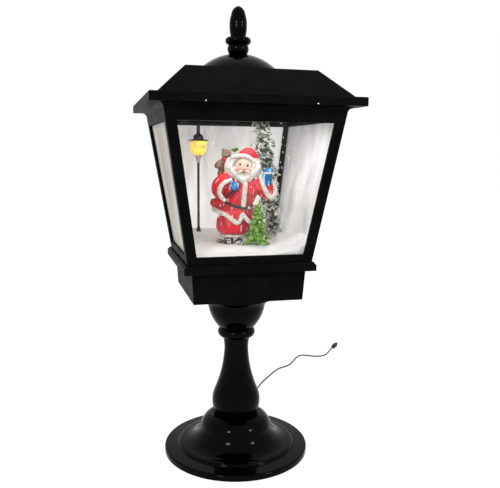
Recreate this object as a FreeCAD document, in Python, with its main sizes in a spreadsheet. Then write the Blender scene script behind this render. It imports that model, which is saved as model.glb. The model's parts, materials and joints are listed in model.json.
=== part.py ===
import FreeCAD, Part
import math
import os
import Sketcher

# Lantern table lamp: a square tapered lantern with a snow scene and a small blower inside,
# on a turned pedestal with a round foot. Millimetres, +Z up, front face towards -Y.
# The origin is on the table, under the centre of the foot.

document = FreeCAD.newDocument("lantern_lamp")
os.makedirs("parts", exist_ok=True)
Vector = FreeCAD.Vector

driving_sizes = {
    # round foot
    "pad_radius": 7.0, "pad_height": 1.5, "pad_inset": 30.0,
    "foot_radius": 114.8, "foot_lift": 1.0, "rim_height": 9.0, "rim_round": 3.0,
    "tier_radius": 92.0, "tier_step": 1.2, "tier_rise": 4.0, "tier_flare": 3.0,
    "tier_edge": 1.6, "tier_inset": 1.5, "tier_run": 5.0, "tier_dome": 0.8,
    "sweep_radius": 57.0, "sweep_rise": 22.8, "sweep_bow": 5.8,
    "shoulder_radius": 41.0, "shoulder_rise": 22.0, "shoulder_bow": 3.7, "foot_wall": 2.5,
    "plate_setback": 12.8, "plate_height": 2.5, "boss_inset": 10.0, "boss_radius": 4.0,
    "weight_inset": 22.0, "weight_height": 8.0, "weight_edge": 2.0, "hub_radius": 26.0,
    "hub_step": 4.0, "weight_bore": 18.0, "weight_recess": 18.0, "lead_channel": 5.0,
    "channel_height": 4.2,
    # pedestal, from the foot up to the flange under the box
    "neck_seat_radius": 29.0, "baluster_seat": 35.2, "seat_rise": 4.0, "seat_edge": 2.4,
    "belly_radius": 37.1, "belly_rise": 33.0, "belly_bow": 2.2,
    "turn_radius": 33.8, "turn_rise": 9.0, "waist_radius": 19.1, "waist_rise": 66.0,
    "waist_bow": 3.05, "collar_radius": 21.0, "collar_rise": 19.5, "collar_edge": 2.4,
    "pedestal_wall": 2.6, "web_height": 3.0,
    "bead_foot": 24.6, "bead_bow": 4.0, "bead_top_radius": 26.4, "bead_height": 14.5,
    "bowl_radius": 44.3, "bowl_rise": 33.0, "bowl_bow": 2.7,
    "flange_root": 52.0, "flange_rise": 15.0, "flange_ledge": 5.5, "flange_bow": 1.4,
    "flange_height": 11.1, "flange_edge": 2.0,
    "rod_radius": 5.0, "rod_bore": 3.2, "rod_drop": 8.0, "rod_reach": 13.9, "rod_play": 0.3,
    "washer_radius": 14.0, "washer_height": 1.5, "nut_width": 15.0, "nut_height": 5.0,
    # control box and plinth
    "box_foot_half": 81.4, "box_flare": 2.9, "box_height": 45.6, "box_wall": 2.5,
    "box_floor": 3.0, "box_boss_inset": 13.4, "box_boss_radius": 5.5, "screw_radius": 1.45,
    "screw_head_radius": 2.9, "screw_head_height": 2.2, "screw_length": 12.7,
    "screw_bite": 5.5, "screw_play": 0.2, "driver_play": 0.4,
    "vent_count": 7, "vent_pitch": 8.0, "vent_width": 3.0, "vent_length": 34.0,
    "vent_x": -38.0, "vent_y": 14.0,
    "plinth_ledge": 12.5, "plinth_edge": 9.0, "plinth_height": 12.6, "plinth_chamfer": 2.6,
    "plinth_hollow_step": 6.3, "plinth_skin": 4.0, "gutter_half": 60.0, "gutter_room": 24.3,
    # leaning cage
    "cage_setback": 2.9, "cage_height": 211.0, "cage_lean": 34.2, "post_width": 14.5,
    "lip_depth": 5.0, "rebate_width": 3.0, "pane_height_play": 0.3, "pane_thickness": 2.0,
    "bottom_rail_height": 11.7, "top_rail_height": 12.8, "post_screw_bite": 16.0,
    # cornice and roof
    "cove_reach": 9.0, "cove_height": 9.4, "cove_bow": 2.6, "soffit_skin": 2.5,
    "tray_rim": 6.0, "eave_ledge": 12.1, "eave_height": 12.1, "eave_round": 1.5,
    "slope_setback": 0.1, "roof_run": 41.2, "roof_rise": 38.9, "roof_wall": 2.5,
    "roof_play": 0.3, "roof_screw_inset": 25.5, "roof_screw_bite": 14.0,
    "roof_boss_radius": 4.5, "ceiling_height": 3.0,
    "dome_sphere": 83.5, "dome_radius": 65.0, "dome_wall": 2.5, "finial_seat": 12.6,
    "finial_reach": 99.3, "bolt_radius": 3.0, "bolt_play": 0.15, "bolt_head_width": 10.0,
    "bolt_head_height": 4.0, "bolt_depth": 42.0, "bolt_tip_room": 2.0,
    "light_bar_half": 62.0, "light_bar_width": 10.0, "light_bar_thickness": 1.6,
    "light_bar_reach": 79.0, "light_count": 6, "light_pitch": 20.0, "light_width": 5.0,
    "light_height": 1.4,
    # blower, board and switch
    "blower_right_room": 41.4, "blower_rear_room": 45.4, "housing_radius": 32.0, "housing_wall": 2.5,
    "housing_height": 35.9, "cover_height": 2.0, "inlet_radius": 14.0, "inlet_lip": 4.0,
    "inlet_wall": 2.0, "spout_wall": 2.0, "spout_play": 0.3, "motor_radius": 12.0,
    "motor_height": 14.0, "motor_edge": 1.5, "impeller_radius": 25.0, "impeller_disc": 2.0,
    "impeller_depth": 16.0, "blade_height": 10.0, "blade_count": 9, "blade_root": 9.5,
    "blade_sweep": 6.4, "blade_thickness": 1.1, "blade_bow": 2.2, "shaft_radius": 1.0,
    "shaft_play": 0.06, "shaft_length": 12.0, "shaft_end_play": 0.3, "hub_disc_radius": 5.0,
    "hub_edge": 1.0, "hub_gap": 2.0,
    "board_x": -36.0, "board_y": -34.0, "board_length": 62.0, "board_depth": 44.0,
    "board_thickness": 1.6, "standoff_height": 4.0, "standoff_radius": 2.6,
    "standoff_inset": 4.0,
    "switch_rise": 22.9, "switch_recess": 3.9, "switch_length": 28.0, "switch_width": 11.0,
    "switch_depth": 11.0, "switch_margin": 4.0, "switch_rim": 3.0, "knob_length": 5.0,
    "knob_width": 5.0, "knob_depth": 9.5, "knob_groove": 0.6, "groove_pitch": 1.5,
    "groove_depth": 0.5, "switch_travel": 5.0, "switch_play": 0.3, "slider_length": 11.0,
    "slider_width": 6.5, "slider_depth": 4.0,
    # snow scene
    "deck_height": 3.0, "deck_play": 0.5, "deck_hole_play": 0.6, "bed_front_depth": 8.7,
    "seat_front_room": 57.3, "seat_back_room": 69.3, "seat_depth": 15.2, "bed_back_depth": 24.7,
    "bed_hole_play": 0.4, "bed_back_bow": 1.2, "bed_front_bow": 0.8,
    "riser_radius": 6.0, "riser_wall": 1.0, "riser_foot_room": 21.0, "riser_head_room": 79.1,
    "riser_y": 30.0, "garland_gap": 0.3, "garland_radius": 10.0, "garland_foot_room": 1.0,
    "garland_head_room": 0.4, "gutter_slots": 12, "gutter_pitch": 10.0, "gutter_slot": 6.0,
    "mini_left_room": 41.3, "mini_rear_room": 29.3, "mini_pole": 2.0, "mini_foot": 6.0,
    "mini_foot_play": 0.2, "mini_foot_edge": 1.2, "mini_foot_cap": 4.0, "mini_foot_swell": 8.0,
    "mini_pole_rise": 137.7, "mini_collar": 2.6, "mini_collar_rise": 10.7,
    "mini_glass_height": 23.3, "mini_glass_radius": 14.0, "mini_glass_edge": 5.0,
    "mini_roof_radius": 16.8, "mini_roof_edge": 1.8, "mini_roof_inset": 0.6,
    "mini_roof_rise": 10.0, "mini_roof_neck": 1.6, "mini_tube": 4.0, "mini_tube_foot": 12.5,
    # figure and little tree, drawn at these heights
    "figure_y": -8.0, "figure_height": 147.0, "tree_x": 25.0, "tree_y": -38.0,
    "tree_radius": 20.0, "tree_tier_height": 32.0, "tree_tip": 2.0, "tree_skirt": 3.0,
    "tree_skirt_inset": 1.5,
    # cord
    "cord_radius": 1.55, "gland_height": 4.8, "gland_neck": 2.3, "gland_flange": 3.3,
    "gland_depth": 7.6, "gland_reach": 13.2, "gland_play": 0.2, "gland_ring": 0.35,
    "gland_ring_length": 1.8, "gland_head": 2.0, "gland_cone": 0.4, "gland_wall": 0.5,
    "coil_x": 45.0, "coil_y": 190.0, "coil_outer": 25.4,
    "coil_pitch": 3.7, "coil_turns": 4, "tie_thickness": 0.8, "tie_width": 8.0,
    "tie_play": 0.5, "tie_inner_play": 1.9,
    "plug_radius": 5.0, "plug_length": 28.5, "plug_cone": 9.0, "plug_cone_inset": 1.4,
    "plug_shoulder": 10.5, "plug_edge": 1.5, "plug_edge_inset": 0.8,
    "barrel_radius": 2.75, "barrel_length": 9.5, "barrel_bore": 1.05, "barrel_floor": 2.0,
}

# heights and half widths that follow from the sizes above
built_up_sizes = {
    "plate_radius": "foot_radius - plate_setback",
    "boss_ring": "plate_radius - boss_inset",
    "pad_ring": "plate_radius - pad_inset",
    "weight_radius": "plate_radius - weight_inset",
    "tier_base": "foot_lift + rim_height + tier_step",
    "tier_height": "tier_base + tier_rise",
    "sweep_height": "tier_height + sweep_rise",
    "foot_top": "sweep_height + shoulder_rise",
    "weight_roof": "pad_height + plate_height + weight_recess",
    "belly_height": "foot_top + belly_rise",
    "turn_height": "belly_height + turn_rise",
    "waist_height": "turn_height + waist_rise",
    "collar_height": "waist_height + collar_rise",
    "bead_top": "collar_height + bead_height",
    "bowl_height": "bead_top + bowl_rise",
    "flange_bottom": "bowl_height + flange_rise",
    "flange_radius": "flange_root + flange_ledge",
    "box_bottom": "flange_bottom + flange_height",
    "rod_foot": "weight_roof - rod_drop",
    "rod_head": "box_bottom + rod_reach",
    "box_top_half": "box_foot_half + box_flare",
    "box_boss_place": "box_foot_half - box_boss_inset",
    "plinth_bottom": "box_bottom + box_height",
    "screw_seat": "plinth_bottom - screw_length",
    "plinth_half": "box_top_half + plinth_ledge",
    "plinth_top_half": "plinth_half - plinth_chamfer",
    "plinth_hollow_half": "box_top_half - plinth_hollow_step",
    "plinth_top": "plinth_bottom + plinth_height",
    "cage_foot_half": "plinth_top_half - cage_setback",
    "cage_top_half": "cage_foot_half + cage_lean",
    "cage_top": "plinth_top + cage_height",
    "window_bottom": "plinth_top + bottom_rail_height",
    "window_top": "cage_top - top_rail_height",
    "cove_half": "cage_top_half + cove_reach",
    "cove_top": "cage_top + cove_height",
    "slope_foot_half": "cove_half - slope_setback",
    "eave_half": "slope_foot_half + eave_ledge",
    "eave_top": "cove_top + eave_height",
    "roof_top_half": "slope_foot_half - roof_run",
    "roof_top": "eave_top + roof_rise",
    "roof_screw_place": "cage_top_half - roof_screw_inset",
    "finial_top": "roof_top + finial_reach",
    "blower_x": "box_foot_half - blower_right_room",
    "blower_y": "box_foot_half - blower_rear_room",
    "housing_top": "box_bottom + box_floor + housing_height",
    "impeller_foot": "housing_top - impeller_depth",
    "switch_height": "box_bottom + switch_rise",
    "switch_face": "box_foot_half - switch_recess",
    "knob_reach": "switch_face + knob_depth",
    "deck_top": "plinth_top + deck_height",
    "bed_front": "gutter_room - cage_foot_half",
    "bed_front_height": "deck_top + bed_front_depth",
    "seat_front": "seat_front_room - cage_foot_half",
    "seat_back": "cage_foot_half - seat_back_room",
    "seat_height": "deck_top + seat_depth",
    "bed_back_height": "deck_top + bed_back_depth",
    "riser_foot_x": "cage_foot_half - riser_foot_room",
    "riser_head_x": "cage_top_half - riser_head_room",
    "mini_x": "mini_left_room - cage_foot_half",
    "mini_y": "cage_foot_half - mini_rear_room",
    "mini_collar_height": "deck_top + mini_pole_rise",
    "mini_glass_foot": "mini_collar_height + mini_collar_rise",
    "mini_glass_top": "mini_glass_foot + mini_glass_height",
    "gland_tail": "foot_radius + gland_reach",
}

sheet = document.addObject("Spreadsheet::Sheet", "sizes")
cells = list(driving_sizes.items())
cells += [(alias, "=" + formula) for alias, formula in built_up_sizes.items()]
for row, (alias, entry) in enumerate(cells, start=1):
    sheet.set("A%d" % row, alias)
    sheet.set("B%d" % row, str(entry))
    sheet.setAlias("B%d" % row, alias)
document.recompute()


class Size:
    """A length together with the sheet expression that gives it."""

    def __init__(self, number, text):
        self.number = number
        self.text = text

    def combine(self, other, sign, answer):
        return Size(answer, "(%s %s %s)" % (self.text, sign, as_size(other).text))

    def __add__(self, other):
        return self.combine(other, "+", self.number + as_size(other).number)

    def __sub__(self, other):
        return self.combine(other, "-", self.number - as_size(other).number)

    def __mul__(self, other):
        return self.combine(other, "*", self.number * as_size(other).number)

    def __truediv__(self, other):
        return self.combine(other, "/", self.number / as_size(other).number)

    def __radd__(self, other):
        return as_size(other) + self

    def __rsub__(self, other):
        return as_size(other) - self

    def __rmul__(self, other):
        return as_size(other) * self

    def __neg__(self):
        return Size(-self.number, "(0 - %s)" % self.text)


def as_size(quantity):
    if isinstance(quantity, Size):
        return quantity
    return Size(float(quantity), repr(float(quantity)))


def root(size):
    return Size(math.sqrt(size.number), "sqrt(%s)" % size.text)


class SheetSizes:
    """Gives each cell of the sheet as a Size."""

    def __getattr__(self, alias):
        return Size(float(sheet.get(alias)), "sizes.%s" % alias)


s = SheetSizes()
quarter_bow = 1 - math.sqrt(0.5)    # rise of a quarter arc, as a share of its radius
nodes = {}


def keep(name, thing):
    """The finished sub-part takes the node's name as its label."""
    thing.Label = name
    nodes[name] = thing
    return thing


def bind(thing, path, size):
    thing.setExpression(path, as_size(size).text)


def place(thing, x=0.0, y=0.0, z=0.0):
    bind(thing, "Placement.Base.x", x)
    bind(thing, "Placement.Base.y", y)
    bind(thing, "Placement.Base.z", z)
    return thing


# ---- sketches -------------------------------------------------------------------------------

def draw(sketch, outline):
    """Closed outline of points (x, y) or (x, y, bow), where bow is the rise of the arc that
    leads to the point, to the right of the way of travel. Every point is bound to the sheet."""
    corners = [(as_size(p[0]), as_size(p[1]), as_size(p[2]) if len(p) > 2 else None)
               for p in outline]
    ends = []
    for index, corner in enumerate(corners):
        before = corners[index - 1]
        start = Vector(before[0].number, before[1].number, 0)
        end = Vector(corner[0].number, corner[1].number, 0)
        bow = corner[2]
        if bow is None or abs(bow.number) < 1e-9:
            curve = sketch.addGeometry(Part.LineSegment(start, end))
            ends.append((curve, 1, 2))
            continue
        chord = end - start
        rise = abs(bow.number)
        radius = (chord.Length ** 2 / 4 + rise ** 2) / (2 * rise)
        side = 1 if bow.number > 0 else -1
        inward = Vector(-chord.y, chord.x, 0) * (side / chord.Length)
        centre = (start + end) * 0.5 + inward * (radius - rise)
        first, last = (start, end) if side > 0 else (end, start)
        low = math.atan2(first.y - centre.y, first.x - centre.x)
        high = math.atan2(last.y - centre.y, last.x - centre.x)
        if high < low:
            high += 2 * math.pi
        circle = Part.Circle(centre, Vector(0, 0, 1), radius)
        curve = sketch.addGeometry(Part.ArcOfCircle(circle, low, high))
        ends.append((curve, 1, 2) if side > 0 else (curve, 2, 1))
        run = corner[0] - before[0]
        climb = corner[1] - before[1]
        size = ((run * run + climb * climb) / 4 + bow * bow) / (2 * side * bow)
        number = sketch.addConstraint(Sketcher.Constraint("Radius", curve, radius))
        bind(sketch, "Constraints[%d]" % number, size)
    for index, (curve, start, end) in enumerate(ends):
        following = ends[(index + 1) % len(ends)]
        sketch.addConstraint(
            Sketcher.Constraint("Coincident", curve, end, following[0], following[1]))
        for kind, size in (("DistanceX", corners[index][0]), ("DistanceY", corners[index][1])):
            number = sketch.addConstraint(
                Sketcher.Constraint(kind, -1, 1, curve, end, size.number))
            bind(sketch, "Constraints[%d]" % number, size)


def draw_circle(sketch, radius, x=0.0, y=0.0):
    radius, x, y = as_size(radius), as_size(x), as_size(y)
    circle = Part.Circle(Vector(x.number, y.number, 0), Vector(0, 0, 1), radius.number)
    curve = sketch.addGeometry(circle)
    for kind, size in (("DistanceX", x), ("DistanceY", y)):
        number = sketch.addConstraint(Sketcher.Constraint(kind, -1, 1, curve, 3, size.number))
        bind(sketch, "Constraints[%d]" % number, size)
    number = sketch.addConstraint(Sketcher.Constraint("Radius", curve, radius.number))
    bind(sketch, "Constraints[%d]" % number, radius)


def sketch_on(body, name, plane, lift=0.0):
    """A sketch on one of the body's own origin planes, lifted along its normal."""
    sketch = body.newObject("Sketcher::SketchObject", name)
    support = [f for f in body.Origin.OriginFeatures if f.Role == plane][0]
    sketch.AttachmentSupport = [(support, "")]
    sketch.MapMode = "FlatFace"
    bind(sketch, "AttachmentOffset.Base.z", lift)
    return sketch


def rectangle(low_x, high_x, low_y, high_y):
    return [(low_x, low_y), (high_x, low_y), (high_x, high_y), (low_x, high_y)]


# ---- solids ---------------------------------------------------------------------------------

def turned(name, outline):
    """A body of revolution about the vertical axis, from (radius, height) points."""
    body = document.addObject("PartDesign::Body", name)
    sketch = sketch_on(body, name + "_profile", "XZ_Plane")
    draw(sketch, outline)
    spin = body.newObject("PartDesign::Revolution", name + "_turn")
    spin.Profile = sketch
    spin.ReferenceAxis = (sketch, ["V_Axis"])
    spin.Angle = 360.0
    sketch.Visibility = False
    return body


def lofted(name, sections):
    """A body through flat sections, each a (height, outline) pair."""
    body = document.addObject("PartDesign::Body", name)
    sketches = []
    for index, (height, outline) in enumerate(sections):
        sketch = sketch_on(body, "%s_section_%d" % (name, index + 1), "XY_Plane", height)
        draw(sketch, outline)
        sketches.append(sketch)
    loft = body.newObject("PartDesign::AdditiveLoft", name + "_loft")
    loft.Profile = sketches[0]
    loft.Sections = sketches[1:]
    loft.Ruled = True
    return body


def padded(name, outline, height, length):
    """An upright prism on a horizontal outline."""
    body = document.addObject("PartDesign::Body", name)
    sketch = sketch_on(body, name + "_outline", "XY_Plane", height)
    draw(sketch, outline)
    pad = body.newObject("PartDesign::Pad", name + "_pad")
    pad.Profile = sketch
    bind(pad, "Length", length)
    return body


def free_sketch(name, outline, turn):
    """A sketch in an upright plane through the axis, turned about that axis by turn degrees."""
    sketch = document.addObject("Sketcher::SketchObject", name)
    upright = FreeCAD.Rotation(Vector(1, 0, 0), 90)
    around = FreeCAD.Rotation(Vector(0, 0, 1), turn)
    sketch.Placement = FreeCAD.Placement(Vector(), around.multiply(upright))
    draw(sketch, outline)
    return sketch


def extruded(name, outline, turn, length):
    """The outline carried equally far both ways across its upright plane."""
    extrusion = document.addObject("Part::Extrusion", name)
    extrusion.Base = free_sketch(name + "_outline", outline, turn)
    extrusion.DirMode = "Normal"
    extrusion.Solid = True
    extrusion.Symmetric = True
    bind(extrusion, "LengthFwd", length)
    return extrusion


def common(name, *things):
    shape = document.addObject("Part::MultiCommon", name)
    shape.Shapes = list(things)
    return shape


def fused(name, *things):
    shape = document.addObject("Part::MultiFuse", name)
    shape.Shapes = list(things)
    return shape


def cut(name, base, *tools):
    shape = document.addObject("Part::Cut", name)
    shape.Base = base
    shape.Tool = tools[0] if len(tools) == 1 else fused(name + "_tools", *tools)
    return shape


def group(name, things):
    """Separate equal solids that share one node."""
    shape = document.addObject("Part::Compound", name)
    shape.Links = list(things)
    return shape


def square(name, half_outline):
    """A solid that is square at every height, from (half width, height) points going up.
    Two outlines carried across each other give true mitres, also on a hollow cove."""
    right = list(half_outline)
    left = []
    for index in range(len(right) - 1, -1, -1):
        bow = right[index + 1][2] if index + 1 < len(right) and len(right[index + 1]) > 2 else None
        point = (-as_size(right[index][0]), right[index][1])
        left.append(point if bow is None else point + (bow,))
    widest = max((as_size(p[0]) for p in right), key=lambda size: size.number)
    ways = [extruded("%s_%s" % (name, way), right + left, turn, widest * 2 + 4)
            for way, turn in (("across", 0), ("along", 90))]
    return common(name, *ways)


def cylinder(name, radius, bottom, top, x=0.0, y=0.0):
    shape = document.addObject("Part::Cylinder", name)
    bind(shape, "Radius", radius)
    bind(shape, "Height", as_size(top) - bottom)
    return place(shape, x, y, bottom)


def block(name, low_x, high_x, low_y, high_y, low_z, high_z):
    shape = document.addObject("Part::Box", name)
    bind(shape, "Length", as_size(high_x) - low_x)
    bind(shape, "Width", as_size(high_y) - low_y)
    bind(shape, "Height", as_size(high_z) - low_z)
    return place(shape, low_x, low_y, low_z)


def corners(distance):
    """The four places at plus and minus distance, anticlockwise from the front left."""
    distance = as_size(distance)
    return [(-distance, -distance), (distance, -distance), (distance, distance),
            (-distance, distance)]


def ring_places(count, radius, first_degrees):
    radius = as_size(radius)
    angles = [math.radians(first_degrees + 360.0 * index / count) for index in range(count)]
    return [(radius * math.cos(a), radius * math.sin(a)) for a in angles]


def screw(name, x, y, seat, tip, sunk=False):
    """A screw that points up: its head lies under the seat height."""
    head_low = as_size(seat) - s.screw_head_height
    if sunk:
        outline = [(0, seat), (s.screw_head_radius, seat),
                   (s.screw_radius, as_size(seat) + s.screw_head_height), (s.screw_radius, tip),
                   (0, tip)]
    else:
        outline = [(0, head_low), (s.screw_head_radius * 0.8, head_low),
                   (s.screw_head_radius, seat, s.screw_head_radius * 0.08),
                   (s.screw_radius, seat), (s.screw_radius, tip), (0, tip)]
    return place(turned(name, outline), x, y)


def hexagon(width):
    radius = as_size(width) / math.sqrt(3)
    return [(radius * math.cos(math.radians(60 * k)), radius * math.sin(math.radians(60 * k)))
            for k in range(6)]


# ---- foot -----------------------------------------------------------------------------------

plate_bottom = s.pad_height
plate_top = plate_bottom + s.plate_height
wall = s.foot_wall


def make_foot():
    rim_top = s.foot_lift + s.rim_height
    outer = [
        (s.foot_radius, s.foot_lift),
        (s.foot_radius, rim_top - s.rim_round),
        (s.foot_radius - s.rim_round, rim_top, s.rim_round * quarter_bow),
        (s.tier_radius + s.tier_flare, s.tier_base),
        (s.tier_radius, s.tier_base + s.tier_edge, -0.6),
        (s.tier_radius - s.tier_inset, s.tier_height, 0.5),
        (s.tier_radius - s.tier_run, s.tier_height + s.tier_dome),
        (s.sweep_radius, s.sweep_height, -s.sweep_bow),
        (s.shoulder_radius, s.foot_top, s.shoulder_bow),
        (s.rod_radius + s.rod_play, s.foot_top),
    ]
    inner = [
        (s.rod_radius + s.rod_play, s.foot_top - wall),
        (s.shoulder_radius - wall, s.foot_top - wall),
        (s.sweep_radius - wall, s.sweep_height - wall, -s.shoulder_bow),
        (s.tier_radius - s.tier_run - wall, s.tier_height + s.tier_dome - wall, s.sweep_bow),
        (s.tier_radius - s.tier_inset, s.tier_base - wall + 0.6),
        (s.foot_radius - s.rim_round - wall, rim_top - wall),
        (s.foot_radius - wall, rim_top - s.rim_round - wall, -s.rim_round * quarter_bow),
        (s.foot_radius - wall, s.foot_lift),
    ]
    shell = turned("foot_shell_skin", outer + inner)
    posts = []
    pilots = []
    places = ring_places(4, s.boss_ring, 45)
    for index, (x, y) in enumerate(places):
        posts.append(cylinder("foot_boss_%d" % index, s.boss_radius, plate_top,
                              s.tier_base - wall + 1.5, x, y))
        pilots.append(cylinder("foot_pilot_%d" % index, s.screw_radius, plate_top,
                               s.tier_base - wall, x, y))
    gland_hole = cylinder("gland_hole", s.gland_neck + s.gland_play, -6, 6)
    gland_hole.Placement.Rotation = FreeCAD.Rotation(Vector(1, 0, 0), -90)
    place(gland_hole, 0, s.foot_radius - 6, s.gland_height)
    body = fused("foot_shell_joined", shell, *posts)
    keep("foot_shell", cut("foot_shell", body, gland_hole, *pilots))

    disc = turned("foot_plate_disc", [(0, plate_bottom), (s.plate_radius, plate_bottom),
                                      (s.plate_radius, plate_top), (0, plate_top)])
    holes = []
    for index, (x, y) in enumerate(places):
        cone = document.addObject("Part::Cone", "foot_countersink_%d" % index)
        bind(cone, "Radius1", s.screw_head_radius)
        bind(cone, "Radius2", s.screw_radius)
        bind(cone, "Height", s.screw_head_height)
        holes.append(place(cone, x, y, plate_bottom))
        holes.append(cylinder("foot_plate_hole_%d" % index, s.screw_radius, plate_bottom,
                              plate_top, x, y))
    keep("foot_plate", cut("foot_plate", disc, *holes))
    keep("foot_screws", group("foot_screws", [
        screw("foot_screw_%d" % i, x, y, plate_bottom, s.tier_base - wall, sunk=True)
        for i, (x, y) in enumerate(places)]))
    keep("foot_pads", group("foot_pads", [
        place(turned("foot_pad_%d" % i, [
            (0, 0), (s.pad_radius - 0.5, 0), (s.pad_radius, 0.5, 0.15),
            (s.pad_radius, s.pad_height), (0, s.pad_height)]), x, y)
        for i, (x, y) in enumerate(ring_places(4, s.pad_ring, 0))]))

    weight_top = plate_top + s.weight_height
    weight = turned("foot_weight_casting", [
        (s.weight_bore, plate_top), (s.weight_radius, plate_top),
        (s.weight_radius, weight_top - s.weight_edge),
        (s.weight_radius - s.weight_edge, weight_top, s.weight_edge * 0.3),
        (s.hub_radius + s.hub_step, weight_top),
        (s.hub_radius, weight_top + s.hub_step, s.hub_step * -0.3),
        (s.hub_radius, s.foot_top - wall), (s.rod_radius + s.rod_play, s.foot_top - wall),
        (s.rod_radius + s.rod_play, s.weight_roof), (s.weight_bore, s.weight_roof)])
    channel = block("weight_channel", -s.lead_channel / 2, s.lead_channel / 2,
                    s.weight_bore - 2, s.weight_radius + 1, plate_top,
                    plate_top + s.channel_height)
    keep("foot_weight", cut("foot_weight", weight, channel))


# ---- pedestal -------------------------------------------------------------------------------

def make_pedestal():
    skin = s.pedestal_wall
    seat = s.foot_top + s.seat_rise
    outer = [
        (s.neck_seat_radius, s.foot_top),
        (s.neck_seat_radius, s.foot_top + s.seat_edge),
        (s.baluster_seat, seat),
        (s.belly_radius, s.belly_height, s.belly_bow),
        (s.turn_radius, s.turn_height, 0.15),
        (s.waist_radius, s.waist_height, -s.waist_bow),
        (s.collar_radius, s.collar_height - s.collar_edge, -0.5),
        (s.collar_radius, s.collar_height),
        (s.rod_radius + s.rod_play, s.collar_height),
    ]
    inner = [
        (s.rod_radius + s.rod_play, s.collar_height - s.web_height),
        (s.collar_radius - skin, s.collar_height - s.web_height),
        (s.waist_radius - skin, s.waist_height, 0.5),
        (s.turn_radius - skin, s.turn_height, s.waist_bow),
        (s.belly_radius - skin, s.belly_height, -0.15),
        (s.baluster_seat - skin, seat + 1, -s.belly_bow),
        (s.neck_seat_radius - skin, seat - 0.6),
        (s.neck_seat_radius - skin, s.foot_top),
    ]
    keep("baluster", turned("baluster", outer + inner))

    bore = s.rod_radius + s.rod_play
    keep("collar_ring", turned("collar_ring", [
        (bore, s.collar_height), (s.bead_foot, s.collar_height),
        (s.bead_top_radius, s.bead_top, s.bead_bow), (bore, s.bead_top)]))

    lip = s.box_bottom - s.flange_edge
    keep("cup", turned("cup", [
        (bore, s.bead_top), (s.bead_top_radius, s.bead_top),
        (s.bowl_radius, s.bowl_height, s.bowl_bow),
        (s.flange_root, s.flange_bottom, -s.flange_bow),
        (s.flange_radius - 1, s.flange_bottom),
        (s.flange_radius, s.flange_bottom + 1, quarter_bow),
        (s.flange_radius, lip),
        (s.flange_radius - s.flange_edge, s.box_bottom, 0.5),
        (s.flange_radius - s.flange_edge - s.web_height, s.box_bottom),
        (s.flange_root - skin, s.flange_bottom + s.web_height),
        (s.bowl_radius - skin, s.bowl_height + 1, s.flange_bow),
        (s.bead_top_radius, s.bead_top + s.web_height, -s.bowl_bow),
        (bore, s.bead_top + s.web_height)]))

    tube = turned("tie_rod", [(s.rod_bore, s.rod_foot), (s.rod_radius, s.rod_foot),
                              (s.rod_radius, s.rod_head), (s.rod_bore, s.rod_head)])
    keep("tie_rod", tube)
    low_nut = s.weight_roof - s.washer_height - s.nut_height
    high_washer = s.box_bottom + s.box_floor
    washers = []
    for index, bottom in enumerate((s.weight_roof - s.washer_height, high_washer)):
        washers.append(turned("tie_washer_%d" % index, [
            (bore, bottom), (s.washer_radius, bottom),
            (s.washer_radius, bottom + s.washer_height), (bore, bottom + s.washer_height)]))
    keep("tie_washers", group("tie_washers", washers))
    tie_nuts = []
    for index, bottom in enumerate((low_nut, high_washer + s.washer_height)):
        blank = padded("tie_nut_blank_%d" % index, hexagon(s.nut_width), bottom, s.nut_height)
        hole = cylinder("tie_nut_hole_%d" % index, s.rod_radius, bottom,
                        bottom + s.nut_height)
        tie_nuts.append(cut("tie_nut_%d" % index, blank, hole))
    keep("tie_nuts", group("tie_nuts", tie_nuts))


# ---- control box and plinth -----------------------------------------------------------------

box_inside = s.box_bottom + s.box_floor
riser_foot = (s.riser_foot_x, s.riser_y)
knob_rest = -s.switch_travel / 2
plinth_under = s.plinth_top - s.plinth_skin


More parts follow.
